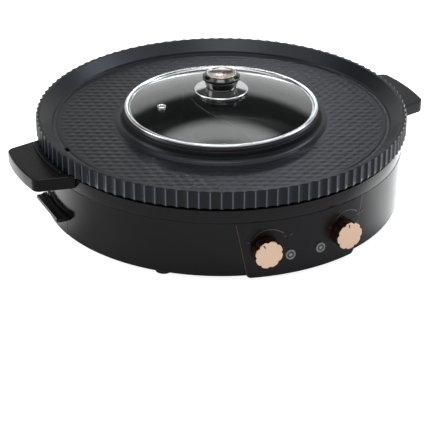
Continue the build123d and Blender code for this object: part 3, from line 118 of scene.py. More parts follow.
def grain(material, size, depth, rough, shades=None):
    """Fine surface grain on Object coordinates: noise of one size in millimetres gives a bump
    of one depth, and varies the roughness, and the colour if given, between two values."""
    tree = material.node_tree
    shader = tree.nodes["Principled BSDF"]
    place = add(tree, "ShaderNodeTexCoord").outputs["Object"]
    noise = add(tree, "ShaderNodeTexNoise", {"Vector": place, "Scale": 1 / (size * MM),
                                             "Detail": 3.0, "Roughness": 0.6})
    bump = add(tree, "ShaderNodeBump", {"Height": noise.outputs["Fac"], "Distance": depth * MM,
                                        "Strength": 1.0})
    tree.links.new(bump.outputs["Normal"], shader.inputs["Normal"])
    spread = add(tree, "ShaderNodeMapRange", {"Value": noise.outputs["Fac"], "From Min": 0.3,
                                              "From Max": 0.7, "To Min": rough[0],
                                              "To Max": rough[1]})
    tree.links.new(spread.outputs["Result"], shader.inputs["Roughness"])
    if shades:
        ramp = add(tree, "ShaderNodeValToRGB", {"Fac": noise.outputs["Fac"]})
        ramp.color_ramp.elements[0].position = 0.35
        ramp.color_ramp.elements[1].position = 0.65
        ramp.color_ramp.elements[0].color = linear(shades[0])
        ramp.color_ramp.elements[1].color = linear(shades[1])
        tree.links.new(ramp.outputs["Color"], shader.inputs["Base Color"])


# Moulded PVC: soft black, nearly matt, with the faint skin that extrusion leaves.
lead_pvc = new_material("moulded_pvc", IOR=1.53)
grain(lead_pvc, 0.9, 0.03, rough=(0.36, 0.5), shades=("#101011", "#17171a"))

# its middle line, in millimetres from the strain relief's end: right, back and up
lead_route = [
    (0, 0, 34), (0, 27, 34), (1, 52, 23), (3, 76, 9), (14, 103, 4.15), (42, 130, 4.15),
    (84, 138, 4.15), (123, 118, 4.15), (140, 78, 4.15), (124, 39, 4.15), (86, 19, 4.15),
    (44, 13, 4.15), (6, 9, 4.95), (-27, 1, 10), (-56, -10, 10),
]
curve = bpy.data.curves.new("lead", "CURVE")
curve.dimensions = "3D"
curve.bevel_depth = lead_radius
curve.bevel_resolution = 6
curve.resolution_u = 16
curve.use_fill_caps = True
spline = curve.splines.new("NURBS")
spline.points.add(len(lead_route) - 1)
for point, (x, y, z) in zip(spline.points, lead_route):
    point.co = (x * MM, lead_start + y * MM, z * MM, 1.0)
spline.order_u = 3
spline.use_endpoint_u = True
lead = bpy.data.objects.new("lead", curve)
scene.collection.objects.link(lead)
curve.materials.append(lead_pvc)
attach(lead, "lead")
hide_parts("lead_cord")

# ---- Studio ---------------------------------------------------------------------------------
# White table and backdrop. Glossy rays see a bright backdrop under a dark ceiling that has one
# wide soft band. Softboxes stand overhead, left, right and behind, and matt faces get a fill.
world = bpy.data.worlds.new("studio")
scene.world = world
world.use_nodes = True
tree = world.node_tree
background = tree.nodes["Background"]
light_path = add(tree, "ShaderNodeLightPath")
height = add(tree, "ShaderNodeSeparateXYZ",
             {"Vector": add(tree, "ShaderNodeTexCoord").outputs["Generated"]}).outputs["Z"]
# heights in the sky, as sines of their angles above the horizon: the backdrop fades into the
# ceiling, and above that the soft band rises and falls
backdrop_top, ceiling_start = math.sin(math.radians(23)), math.sin(math.radians(31))
band_start, band_full = math.sin(math.radians(48)), math.sin(math.radians(58))
band_fall, band_end = math.sin(math.radians(62)), math.sin(math.radians(71))
backdrop_glow, ceiling_glow, band_glow, band_rest, matt_fill = 0.8, 0.06, 2.3, 0.1, 0.34
glow = add(tree, "ShaderNodeMapRange", {"Value": height, "From Min": backdrop_top,
                                        "From Max": ceiling_start, "To Min": backdrop_glow,
                                        "To Max": ceiling_glow},
           interpolation_type="SMOOTHSTEP").outputs["Result"]
band_in = add(tree, "ShaderNodeMapRange", {"Value": height, "From Min": band_start,
                                           "From Max": band_full, "To Min": 0.0,
                                           "To Max": band_glow},
              interpolation_type="SMOOTHSTEP").outputs["Result"]
band_out = add(tree, "ShaderNodeMapRange", {"Value": height, "From Min": band_fall,
                                            "From Max": band_end, "To Min": 1.0,
                                            "To Max": band_rest},
               interpolation_type="SMOOTHSTEP").outputs["Result"]
overhead = add(tree, "ShaderNodeMath", {0: band_in, 1: band_out}, operation="MULTIPLY").outputs[0]
glow = add(tree, "ShaderNodeMath", {0: glow, 1: overhead}).outputs[0]
sharp = add(tree, "ShaderNodeMath", {0: light_path.outputs["Is Glossy Ray"],
                                     1: light_path.outputs["Is Transmission Ray"]},
            operation="MAXIMUM")
# a Mix node's inputs 2 and 3 are its two numbers, and 6 and 7 its two colours
bounced = add(tree, "ShaderNodeMix", {0: sharp.outputs[0], 2: matt_fill, 3: glow})
strength = add(tree, "ShaderNodeMix", {0: light_path.outputs["Is Camera Ray"],
                                       2: bounced.outputs[0], 3: 1.0})
tree.links.new(strength.outputs[0], background.inputs["Strength"])
background.inputs["Color"].default_value = (1.0, 1.0, 1.0, 1.0)


def softbox(name, across, away, up, width, height, watts, colour=(1.0, 1.0, 1.0)):
    """Area light facing the pot's middle. Its place is right of the pot, behind it as the
    camera looks, and above the table, in metres."""
    data = bpy.data.lights.new(name, "AREA")
    data.shape = "RECTANGLE"
    data.size, data.size_y, data.energy, data.color = width, height, watts, colour
    box = bpy.data.objects.new(name, data)
    scene.collection.objects.link(box)
    box.location = camera_right * across + camera_away * away + Vector((0, 0, up))
    box.rotation_euler = (rim_middle - box.location).to_track_quat("-Z", "Y").to_euler()


daylight_blue = (0.84, 0.92, 1.0)
softbox("softbox_top", -0.1, 0.0, 2.5, 1.5, 0.9, 22.0)
softbox("softbox_left", -2.0, -0.2, 0.9, 0.9, 1.3, 11.0)
softbox("softbox_right", 1.55, 0.7, 1.55, 0.6, 0.9, 16.0, daylight_blue)
softbox("softbox_back", 0.1, 2.3, 1.33, 0.35, 0.16, 1.6, daylight_blue)

floor_mesh = bpy.data.meshes.new("table_top")
floor_half = 6.0
floor_mesh.from_pydata([(-floor_half, -floor_half, 0), (floor_half, -floor_half, 0),
                        (floor_half, floor_half, 0), (-floor_half, floor_half, 0)],
                       [], [(0, 1, 2, 3)])
table_top = bpy.data.objects.new("table_top", floor_mesh)
scene.collection.objects.link(table_top)
paper = new_material("white_paper", Base_Color=linear("#f4f4f4"), Roughness=0.9)
tree = paper.node_tree
shader = tree.nodes["Principled BSDF"]
light_path = add(tree, "ShaderNodeLightPath")
seen = add(tree, "ShaderNodeMath", {0: light_path.outputs["Is Camera Ray"],
                                    1: light_path.outputs["Is Transmission Ray"]},
           operation="MAXIMUM")
# straight to the camera the paper is nearly at full white, so that only a trace of shadow stays
camera_white = 0.9
lift = add(tree, "ShaderNodeMath", {0: seen.outputs[0], 1: camera_white}, operation="MULTIPLY")
# in reflections the paper is brightest in two pools of light beside the pot, the right one
# stronger; each begins beside the wall and behind its front
paper_glow, left_pool_glow, right_pool_glow = 0.12, 1.3, 1.5
pool_side_start, pool_side_full = 0.18, 0.23
pool_front_start, pool_front_full = -0.175, -0.06
left_middle, right_middle = -0.2, 0.2
place = add(tree, "ShaderNodeTexCoord").outputs["Object"]
across = add(tree, "ShaderNodeVectorMath", {0: place, 1: camera_right},
             operation="DOT_PRODUCT").outputs["Value"]
away = add(tree, "ShaderNodeVectorMath", {0: place, 1: camera_away},
           operation="DOT_PRODUCT").outputs["Value"]
off_middle = add(tree, "ShaderNodeMath", {0: across}, operation="ABSOLUTE").outputs[0]
beside = add(tree, "ShaderNodeMapRange", {"Value": off_middle, "From Min": pool_side_start,
                                          "From Max": pool_side_full},
             interpolation_type="SMOOTHSTEP").outputs["Result"]
behind = add(tree, "ShaderNodeMapRange", {"Value": away, "From Min": pool_front_start,
                                          "From Max": pool_front_full},
             interpolation_type="SMOOTHSTEP").outputs["Result"]
side_strength = add(tree, "ShaderNodeMapRange", {"Value": across, "From Min": left_middle,
                                                 "From Max": right_middle,
                                                 "To Min": left_pool_glow,
                                                 "To Max": right_pool_glow}).outputs["Result"]
pools = add(tree, "ShaderNodeMath", {0: beside, 1: behind}, operation="MULTIPLY").outputs[0]
pools = add(tree, "ShaderNodeMath", {0: pools, 1: side_strength}, operation="MULTIPLY").outputs[0]
pools = add(tree, "ShaderNodeMath", {0: pools, 1: paper_glow}).outputs[0]
mirrored = add(tree, "ShaderNodeMath", {0: light_path.outputs["Is Glossy Ray"], 1: pools},
               operation="MULTIPLY")
lift = add(tree, "ShaderNodeMath", {0: lift.outputs[0], 1: mirrored.outputs[0]})
shader.inputs["Emission Color"].default_value = (1.0, 1.0, 1.0, 1.0)
tree.links.new(lift.outputs[0], shader.inputs["Emission Strength"])
floor_mesh.materials.append(paper)

# ---- Grill plate ----------------------------------------------------------------------------
# Cast aluminium plate with a dark non-stick coating. Its rim has 112 scalloped flutes, and its
# cooking floor is cast with staggered lens-shaped bumps that rise to a collar round the pot.
rim_radius = 230.0
flute_count, flute_depth, flute_share = 112, 2.2, 0.94    # a flute fills 0.94 of its pitch
flute_fade_start, flute_fade_run = 224.6, 3.4             # over the rim's flat top
columns_rim, columns_floor = flute_count * 8, 900
junction_radius = 203.2                                   # where the rim meets the floor
rim_z = rim_top / MM


def grid_faces(rows, columns, close_rows, close_columns):
    """Quads between the neighbours of a rows x columns grid, which may close on itself."""
    row = np.arange(rows if close_rows else rows - 1)
    column = np.arange(columns if close_columns else columns - 1)
    row, column = np.meshgrid(row, column, indexing="ij")
    next_row, next_column = (row + 1) % rows, (column + 1) % columns
    corners = [row * columns + column, row * columns + next_column,
               next_row * columns + next_column, next_row * columns + column]
    return np.stack(corners, -1).reshape(-1, 4)


def capped_faces(rings, count):
    """Quads round a tube made of rings of so many points, and a flat face over each end."""
    last = (rings - 1) * count
    return ([list(f) for f in grid_faces(rings, count, False, True)]
            + [list(range(count)), list(range(last, last + count))])


def make_piece(name, points, faces, sharp=35.0):
    """Mesh piece from points in millimetres. Doubles are merged, so seams and poles close,
    faces point outwards, and edges that turn by more than the angle stay sharp."""
    mesh = bpy.data.meshes.new(name)
    mesh.from_pydata((np.asarray(points, float).reshape(-1, 3) * MM).tolist(), [],
                     [list(f) for f in faces])
    work = bmesh.new()
    work.from_mesh(mesh)
    bmesh.ops.remove_doubles(work, verts=work.verts, dist=1e-7)
    bmesh.ops.dissolve_degenerate(work, edges=work.edges, dist=1e-8)
    bmesh.ops.recalc_face_normals(work, faces=work.faces)
    work.to_mesh(mesh)
    work.free()
    mesh.shade_smooth()
    mesh.set_sharp_from_angle(angle=math.radians(sharp))
    piece = bpy.data.objects.new(name, mesh)
    scene.collection.objects.link(piece)
    return piece


def finish_piece(piece, body, slot, material, *nodes):
    """Gives a piece its material and its body, and hides the CAD nodes that it stands for. The slot
    is not used.
    """
    piece.data.materials.append(material)
    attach(piece, body)
    if nodes:
        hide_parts(*nodes)


def rounded(corners, steps=5):
    """Closed outline through (across, up, radius) corners. Each arc runs between the two
    tangent points, about a centre on the corner's bisector, with a short straight lead each
    side that keeps the flats flat."""
    corners = np.asarray(corners, float)
    outline = []
    for i, (x, y, radius) in enumerate(corners):
        corner = np.array([x, y])
        if radius == 0:
            outline.append(corner)
            continue
        before = corners[i - 1][:2] - corner
        after = corners[(i + 1) % len(corners)][:2] - corner
        before, after = before / np.linalg.norm(before), after / np.linalg.norm(after)
        middle = before + after
        share = np.linspace(0, 1, steps + 1)[:, None]
        if np.linalg.norm(middle) < 1e-6:    # a straight run keeps a round corner's count
            outline += list(corner + before * radius * np.linspace(1, -1, steps + 3)[:, None])
            continue
        half = math.acos(np.clip(before @ after, -1, 1)) / 2
        reach = radius / math.tan(half)
        centre = corner + middle / np.linalg.norm(middle) * radius / math.sin(half)
        first, last = corner + before * reach - centre, corner + after * reach - centre
        sweep = math.pi - 2 * half
        arc = (np.sin((1 - share) * sweep) * first + np.sin(share * sweep) * last) / math.sin(sweep)
        guard = 0.12 * radius
        outline += [corner + before * (reach + guard), *(centre + arc),
                    corner + after * (reach + guard)]
    return np.array(outline)


def turned(outline, columns):
    """Each (radius, height) point of an outline carried round the Z axis."""
    turn = np.linspace(0, 2 * np.pi, columns, endpoint=False)
    radius, height = outline[:, :1], outline[:, 1:]
    return np.stack([radius * np.cos(turn), radius * np.sin(turn), height + 0 * turn], -1)


def lathe_piece(name, outline, columns=192, sharp=35.0):
    """Closed solid of revolution about Z."""
    return make_piece(name, turned(outline, columns),
                      grid_faces(len(outline), columns, True, True), sharp)


# Non-stick coating over cast metal: charcoal with a cool tint, satin, with fine speckle. The ridges
# between the flutes get a painted highlight: a light grey-blue mixed into the colour near the rim's
# outer radius.
coated = new_material("nonstick_coating", IOR=1.5, Specular_IOR_Level=0.24,
                      Specular_Tint=linear("#f1f4ff"))
grain(coated, 0.7, 0.03, rough=(0.28, 0.36), shades=("#141518", "#1b1c20"))
tree = coated.node_tree
shader = tree.nodes["Principled BSDF"]
ridge_highlight_start, ridge_highlight_full = rim_radius - 0.6, rim_radius - 0.05
place = add(tree, "ShaderNodeTexCoord").outputs["Object"]
flat_place = add(tree, "ShaderNodeVectorMath", {0: place, 1: (1.0, 1.0, 0.0)},
                 operation="MULTIPLY").outputs[0]
from_axis = add(tree, "ShaderNodeVectorMath", {0: flat_place}, operation="LENGTH").outputs["Value"]
painted_ridge_highlight = add(tree, "ShaderNodeMapRange", {"Value": from_axis, "From Min": ridge_highlight_start * MM,
                                        "From Max": ridge_highlight_full * MM}).outputs["Result"]
speckle = shader.inputs["Base Color"].links[0].from_socket
# painted highlight: the colour turns light grey-blue on the ridges at the rim's outer radius
ridge_highlight_mix = add(tree, "ShaderNodeMix", {0: painted_ridge_highlight, 6: speckle, 7: linear("#6c7480")},
                data_type="RGBA")
tree.links.new(ridge_highlight_mix.outputs[2], shader.inputs["Base Color"])

# the rim's section: skirt, flat top, slope and gutter, then back along its underside
rim_outline = rounded([
    (rim_radius, -21.5, 0.6), (rim_radius, 0, 0.9), (224.0, 0, 0.9), (210.4, -11.8, 1.5),
    (208.6, -14.5, 1.0), (205.6, -14.7, 0.8), (junction_radius, -14.3, 0),
    (junction_radius, -18.9, 0), (206.3, -19.1, 0.8), (213.5, -14.0, 0.8), (213.5, -22.0, 0.4),
    (217.0, -22.0, 0.4), (217.0, -11.0, 0.8), (224.5, -8.0, 1.0), (224.5, -21.5, 0.4)])
rim_points = turned(rim_outline + [0, rim_z], columns_rim)
# a flute is a shallow parabola between two ridges; it fades out over the rim's flat top
radius = rim_outline[:, :1]
across = (np.arange(columns_rim) * flute_count / columns_rim) % 1.0 * 2 - 1
scallop = flute_depth * (1 - np.minimum(1, np.abs(across) / flute_share)**2)
fade = np.clip((radius - flute_fade_start) / flute_fade_run, 0, 1)
shrink = 1 - fade * scallop[None, :] / radius
rim_points[..., :2] *= shrink[..., None]
rim = make_piece("plate_rim", rim_points,
                 grid_faces(len(rim_outline), columns_rim, True, True), sharp=46.0)

# drain slot: a cutter with round ends goes through the gutter
slot_half, slot_radius, gutter_radius, slot_floor, slot_roof = 2.4, 3.3, 205.0, 24.0, 11.5
turn = np.linspace(0, 2 * np.pi, 48, endpoint=False)
slot_plan = np.stack([slot_radius * np.cos(turn) - gutter_radius,
                      slot_radius * np.sin(turn) + slot_half * np.sign(np.sin(turn) + 1e-9)], -1)


def cut_through(piece, plan, low, high):
    """Cuts a hole with an upright wall through a piece: the plan carried from low to high."""
    count = len(plan)
    points = np.concatenate([np.c_[plan, np.full(count, z)] for z in (low, high)])
    cutter = make_piece("cutter", points, capped_faces(2, count))
    cut = piece.modifiers.new("hole", "BOOLEAN")
    cut.object, cut.operation, cut.solver = cutter, "DIFFERENCE", "EXACT"
    name = piece.data.name
    cut_mesh = bpy.data.meshes.new_from_object(piece.evaluated_get(
        bpy.context.evaluated_depsgraph_get()))
    piece.modifiers.clear()
    piece.data = cut_mesh
    piece.data.name = name
    bpy.data.objects.remove(cutter)


cut_through(rim, slot_plan, rim_z - slot_floor, rim_z - slot_roof)
finish_piece(rim, "grill_plate", "coated_aluminium", coated, "grill_plate")

# cooking floor: rows of bumps 10 mm apart, 12.2 mm from bump to bump, each row set over by
# 0.6 of that; the height is three plane waves whose crests make the staggered lattice
row_pitch, bump_pitch, row_shift, bump_height = 10.0, 12.2, 0.6, 0.2
bumps_from, bumps_to, bumps_fade = 133.0, 200.4, 4.0
collar_foot, fillet_radius, floor_low, floor_rise, floor_steps = 131.5, 9.0, -14.9, 0.6, 66
floor_rows = np.linspace(junction_radius, collar_foot, floor_steps)
slope = (floor_rows - collar_foot) / (junction_radius - collar_foot) * floor_rise + floor_low
collar_arc = np.linspace(-np.pi / 2, -np.pi, 9)[1:]
collar_fillet = np.c_[collar_foot + fillet_radius * np.cos(collar_arc),
                      floor_low + fillet_radius + fillet_radius * np.sin(collar_arc)]
collar_fillet[0] += [0.6, 0.5]    # a faint bead at the collar's foot catches the light
collar = rounded([(122.5, -5.9, 0), (121.5, -2.5, 0.9), (118.0, -2.5, 0.6),
                  (118.0, -19.9, 0.5), (122.0, -19.9, 0.8), (collar_foot, -18.9, 0),
                  (junction_radius, -18.9, 0)])
floor_outline = np.concatenate([np.c_[floor_rows, slope], collar_fillet[:-1], collar])
floor_points = turned(floor_outline + [0, rim_z], columns_floor)
x, y = floor_points[..., 0], floor_points[..., 1]
along = x * camera_right.x + y * camera_right.y
away = -x * camera_right.y + y * camera_right.x
row_wave = away / row_pitch
bump_wave = row_shift * away / row_pitch - along / bump_pitch
waves = (0.5 * np.cos(2 * np.pi * row_wave) + 0.4 * np.cos(2 * np.pi * bump_wave)
         + 0.3 * np.cos(2 * np.pi * (row_wave - bump_wave)))
radius = floor_outline[:, :1]
window = (np.clip((radius - bumps_from) / bumps_fade, 0, 1)
          * np.clip((bumps_to - radius) / bumps_fade, 0, 1))
window[floor_steps:] = 0
floor_points[..., 2] += bump_height * window * waves
cooking_floor = make_piece("plate_floor", floor_points,
                           grid_faces(len(floor_outline), columns_floor, True, True))
finish_piece(cooking_floor, "grill_plate", "coated_aluminium", coated, "grill_plate")

# ---- Divided pot ----------------------------------------------------------------------------
# Deep round pot of pressed aluminium, black non-stick inside, hung by its flange in the
# plate's collar. An S-shaped divider welded to its floor parts it in two.
pot_top, pot_floor_z, pot_under_z, pot_floor_radius = 120.2, 56.8, 53.8, 111.0
flange_radius, flange_under = 120.9, pot_top - 1.7
# Smooth non-stick over pressed sheet: deep black with one broad, soft highlight.
pot_coating = new_material("gloss_nonstick", IOR=1.5, Specular_IOR_Level=0.4)
grain(pot_coating, 2.5, 0.01, rough=(0.46, 0.54), shades=("#0b0b0d", "#101013"))
pot_outline = rounded([
    (0.0, pot_floor_z, 0), (pot_floor_radius, pot_floor_z, 14.0), (114.6, pot_top, 0.8),
    (flange_radius, pot_top, 0.5), (flange_radius, flange_under, 0.3), (117.0, flange_under, 0.6),
    (113.4, 62.0, 3.0), (108.0, pot_under_z, 4.0), (0.0, pot_under_z, 0)], steps=8)
pot_shell = lathe_piece("pot_shell", pot_outline)
finish_piece(pot_shell, "pot", "coated_aluminium", pot_coating, "divided_pot")

# the divider follows two equal arcs that swing to either side of the pot's middle line; its
# ends stop inside the wall, which leans out towards the top
divider_swing, divider_half, divider_low, divider_top = 8.0, 1.5, pot_floor_z - 0.8, 104.0
divider_reach = 112.2
run = np.linspace(-divider_reach, divider_reach, 90)
bend = pot_floor_radius / 2
bend_radius = (bend**2 + divider_swing**2) / (2 * divider_swing)
middle_x = -np.sign(run) * (np.sqrt(bend_radius**2 - (np.abs(run) - bend)**2)
                            - (bend_radius - divider_swing))
slope_x = np.gradient(middle_x, run)
normal = np.stack([np.ones_like(run), -slope_x], -1) / np.sqrt(1 + slope_x**2)[:, None]
edge = rounded([(-divider_half, divider_low, 0), (divider_half, divider_low, 0),
                (divider_half, divider_top, 1.3), (-divider_half, divider_top, 1.3)])
divider_points = np.zeros((len(run), len(edge), 3))
divider_points[..., :2] = (np.stack([middle_x, run], -1)[:, None]
                           + normal[:, None] * edge[None, :, :1])
divider_points[..., 2] = edge[None, :, 1]
pot_divider = make_piece("pot_divider", divider_points, capped_faces(len(run), len(edge)))
finish_piece(pot_divider, "pot", "coated_aluminium", pot_coating, "divided_pot")

# ---- Lid ------------------------------------------------------------------------------------
# Domed tempered glass in a rolled stainless ring, with a steel eyelet for the steam. The
# phenolic knob stands on a chromed plate and carries a dished chrome cap.

# The ring is rolled and polished, the small trim is plated bright, and the moulded grip has a
# thin glossy skin; the glass has the faint green of soda lime.
steel = new_material("polished_stainless", Base_Color=linear("#d9d9dc"), Metallic=1.0,
                     Roughness=0.16)
grain(steel, 1.2, 0.006, rough=(0.12, 0.2))
chrome = new_material("bright_chrome", Base_Color=linear("#e2e2e4"), Metallic=1.0,
                      Roughness=0.06)
grain(chrome, 6.0, 0.01, rough=(0.05, 0.1))
phenolic = new_material("black_phenolic", Base_Color=linear("#0c0c0d"), IOR=1.55,
                        Roughness=0.12, Coat_Weight=0.1, Coat_Roughness=0.05)
grain(phenolic, 3.0, 0.01, rough=(0.1, 0.16), shades=("#0a0a0b", "#111113"))
glass_material = new_material("tempered_glass", Base_Color=linear("#f3faf8"), IOR=1.5,
                              Roughness=0.0, Transmission_Weight=1.0)

ring_low, ring_top_z = pot_top, pot_top + 6.8
ring_outline = rounded([
    (112.4, 116.0, 0.2), (113.4, 116.0, 0.2), (113.4, ring_low, 0.2), (120.5, ring_low, 1.0),
    (120.5, ring_top_z, 2.2), (116.2, ring_top_z - 0.4, 0.5), (115.3, 125.5, 0),
    (118.06, 125.5, 0), (118.06, 121.34, 0), (112.4, 121.34, 0.2)])
ring = lathe_piece("lid_rim", ring_outline, 256)
finish_piece(ring, "lid", "polished_steel", steel, "lid_ring")

dome_edge, dome_rise, dome_foot, glass_thickness = 115.0, 21.6, 125.4, 4.0
dome_radius = (dome_edge**2 + dome_rise**2) / (2 * dome_rise)
dome_apex = dome_foot + dome_rise


def dome(radius, thickness=0.0):
    """Height of the glass's upper face at a radius: a sphere whose top is the apex. The lower
    face is the sphere a thickness smaller about the same centre."""
    return dome_apex - dome_radius + np.sqrt((dome_radius - thickness)**2 - radius**2)


outward = np.linspace(4.5, dome_edge, 40)
inward = np.linspace(113.0, 4.5, 40)
glass_outline = np.concatenate([
    np.c_[outward, dome(outward)], [(118.0, dome_foot), (118.0, 121.4)],
    np.c_[inward, dome(inward, glass_thickness)]])
lid_dome = lathe_piece("lid_dome", glass_outline, 256, sharp=50.0)
vent_circle, vent_turn, vent_hole = 79.5, math.radians(2), 4.2
vent_x, vent_y = -vent_circle * math.cos(vent_turn), vent_circle * math.sin(vent_turn)
turn = np.linspace(0, 2 * np.pi, 48, endpoint=False)
vent_plan = np.stack([vent_x + vent_hole * np.cos(turn), vent_y + vent_hole * np.sin(turn)], -1)
cut_through(lid_dome, vent_plan, dome_foot, dome_apex)
finish_piece(lid_dome, "lid", "lid_glass", glass_material, "lid_glass")

vent_seat = float(dome(vent_circle))
vent_outline = rounded([(2.9, vent_seat - 6.0, 0.2), (5.1, vent_seat - 6.0, 0.4),
                        (5.1, vent_seat - 4.6, 0), (4.1, vent_seat - 4.6, 0),
                        (4.1, vent_seat - 0.2, 0), (5.6, vent_seat - 0.2, 0.3),
                        (5.6, vent_seat + 1.0, 0.5), (3.8, vent_seat + 1.6, 0.5),
                        (2.9, vent_seat + 0.6, 0.4)])
vent_points = turned(vent_outline, 64) + [vent_x, vent_y, 0]
eyelet = make_piece("steam_eyelet", vent_points, grid_faces(len(vent_outline), 64, True, True))
finish_piece(eyelet, "lid", "polished_steel", chrome, "steam_vent")

knob_plate_radius = 33.0
plate_foot = float(dome(knob_plate_radius))
plate_outline = rounded([(31.4, plate_foot + 0.4, 0.2), (knob_plate_radius, plate_foot + 0.4, 0.4),
                         (knob_plate_radius, plate_foot + 2.2, 1.0), (20.0, plate_foot + 5.2, 2.0),
                         (0.0, plate_foot + 5.2, 0), (0.0, plate_foot + 4.0, 0),
                         (19.6, plate_foot + 4.0, 1.5)])
knob_plate = lathe_piece("knob_base_plate", plate_outline)
finish_piece(knob_plate, "lid", "chrome_plate", chrome, "lid_knob_plate")

knob_low = plate_foot + 5.2
knob_outline = rounded([(0.0, knob_low, 0), (18.6, knob_low, 0.6), (21.4, knob_low + 8.5, 1.0),
                        (21.9, knob_low + 10.2, 0.6), (23.8, knob_low + 11.2, 0.9),
                        (23.6, knob_low + 14.4, 1.4), (19.6, knob_low + 17.0, 0.7),
                        (18.3, knob_low + 17.0, 0.2), (18.3, knob_low + 13.4, 0),
                        (0.0, knob_low + 13.4, 0)])
grip = lathe_piece("lid_grip", knob_outline)
finish_piece(grip, "lid", "handle_plastic", phenolic, "lid_knob")

cap_low, cap_top = knob_low + 13.4, knob_low + 18.55
# the cap's face is dished: a parabola from its rim down to its middle
cap_share = np.linspace(1, 0, 14)
cap_dish = np.c_[14.8 * cap_share, knob_low + 14.6 + 1.9 * cap_share**2]
cap_rim = rounded([(0.0, cap_low, 0), (18.2, cap_low, 0), (18.2, cap_top - 0.2, 0.7),
                   (16.6, cap_top - 0.3, 0.7), (15.6, knob_low + 17.0, 0.6)])
cap = lathe_piece("grip_cap", np.concatenate([cap_rim, cap_dish]))
# Chrome over spun sheet: a little softer and warmer than the bright trim.
spun_chrome = new_material("spun_chrome", Base_Color=linear("#b9aea6"), Metallic=1.0,
                           Roughness=0.22)
grain(spun_chrome, 1.5, 0.008, rough=(0.18, 0.26))
finish_piece(cap, "lid", "chrome_plate", spun_chrome, "lid_knob_cap")

# ---- Housing --------------------------------------------------------------------------------
# Moulded black housing with a high gloss. Its wall tapers in a little from the seam to the
# feet, and steps in under the plate's rim; the tray's opening is on the left, and a flat seat
# for the mains inlet at the back.

# Resin from a polished mould: near black, with wide soft waves in what it mirrors.
gloss_black = new_material("gloss_moulding", IOR=1.46, Specular_IOR_Level=0.25)
grain(gloss_black, 9.0, 0.02, rough=(0.13, 0.19), shades=("#0e0d10", "#111013"))

base_low, base_high = 8.0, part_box("base_housing")[1].z / MM
seam = base_high - 20.4
seat_low, seat_high, seat_half, seat_y = 17.5, 50.5, 27.0, 219.0
band_radius, wall_top_radius, wall_foot_radius = 225.3, 225.55, 222.95
shadow_gap_low, shadow_gap_radius = 95.0, 221.8    # the step under the grill plate's rim
wall_inside, ledge_inside, ledge_thickness = 219.0, 212.0, 3.0


def wall_radius(z):
    """Radius of the tapered wall's outer face at a height, in a straight line from its foot
    to the seam."""
    share = (z - base_low) / (seam - base_low)
    return wall_foot_radius + (wall_top_radius - wall_foot_radius) * share


wall_outline = rounded([
    (wall_foot_radius, base_low, 0.8), (wall_radius(seat_low), seat_low, 0),
    (wall_radius(seat_low), seat_low, 0), (wall_radius(seat_high), seat_high, 0),
    (wall_radius(seat_high), seat_high, 0), (wall_top_radius, seam + 0.2, 0.6),
    (band_radius - 0.2, seam + 0.2, 0), (band_radius, seam + 0.7, 0),
    (band_radius, shadow_gap_low, 0.5), (shadow_gap_radius, shadow_gap_low, 0),
    (shadow_gap_radius, base_high, 0.5), (ledge_inside, base_high, 0.5),
    (ledge_inside, base_high - ledge_thickness, 0.5),
    (wall_inside, base_high - ledge_thickness, 0), (wall_inside, seam, 0),
    (wall_foot_radius - 3.5, base_low, 0.5)])
lip_rise, slide_gap = 3.2, 0.6    # the tray's pull lip above the tray, and the room round it
tray_open_half, tray_open_top = 31.4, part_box("drip_tray")[1].z / MM - lip_rise + slide_gap
tray_middle, seat_middle, column_turn = 20.0, 34.0, 1.5
tray_half_turn = math.degrees(math.asin(tray_open_half / wall_radius(tray_middle)))
seat_half_turn = math.degrees(math.asin(seat_half / wall_radius(seat_middle)))
# columns stand 1.5 degrees apart, with a doubled one at each side of the tray and the seat
stops = [-180 + tray_half_turn, 90 - seat_half_turn, 90 + seat_half_turn,
         180 - tray_half_turn, 180 + tray_half_turn]
columns, kinds = [], []
for start, stop, word in zip(stops, stops[1:], ("plain", "seat", "plain", "tray")):
    count = max(2, int((stop - start) / column_turn) + 1)
    columns.append(np.linspace(start, stop, count))
    kinds += [word] * count
turn, kind = np.radians(np.concatenate(columns)), np.array(kinds)
radius = np.repeat(wall_outline[:, :1], len(turn), 1)
level = np.repeat(wall_outline[:, 1:], len(turn), 1)
level = np.where(kind[None, :] == "tray", np.maximum(level, tray_open_top), level)
outside = np.arange(len(wall_outline)) < np.argmax(wall_outline[:, 1])
on_seat = outside & (wall_outline[:, 1] >= seat_low) & (wall_outline[:, 1] <= seat_high)
seat_rows = np.flatnonzero(on_seat)
on_seat[[seat_rows[0], seat_rows[-1]]] = False    # of each doubled row, one stays on the wall
flat = seat_y / np.cos(turn - np.pi / 2)
radius = np.where((kind[None, :] == "seat") & on_seat[:, None],
                  np.minimum(radius, flat[None, :]), radius)
wall_points = np.stack([radius * np.cos(turn), radius * np.sin(turn), level], -1)
housing = make_piece("housing_shell", wall_points,
                     grid_faces(len(wall_outline), len(turn), True, True), sharp=30.0)
finish_piece(housing, "base", "housing_plastic", gloss_black, "base_housing")

# ---- Control panel --------------------------------------------------------------------------
# Curved moulding let into the housing's front, flush with its band and narrower towards its
# foot, where its round corners hang a little below the housing. Two heat arcs are printed on.

# The same resin from a satin mould: it blurs what it mirrors, so the panel looks flatter.
satin_black = new_material("satin_moulding", IOR=1.46, Specular_IOR_Level=0.25)
grain(satin_black, 6.0, 0.015, rough=(0.27, 0.33), shades=("#121115", "#151418"))
panel_radius, panel_low, panel_high = 225.7, 6.0, seam - 0.15
panel_corner, foot_half_turn, top_half_turn = 5.0, 18.2, 21.8
panel_wall, panel_edge, panel_columns = 3.3, 0.45, 65
rise = np.concatenate([panel_corner * (1 - np.cos(np.linspace(0, np.pi / 2, 9))),
                       np.linspace(panel_corner, panel_high - panel_low, 24)[1:]])
share = rise / (panel_high - panel_low)
half_turn = np.radians(foot_half_turn + (top_half_turn - foot_half_turn) * share)
drop = np.clip(panel_corner - rise, 0, panel_corner)
half_turn -= (panel_corner - np.sqrt(panel_corner**2 - drop**2)) / panel_radius
share = np.linspace(-1, 1, panel_columns)
turn = -np.pi / 2 + half_turn[:, None] * share[None, :]
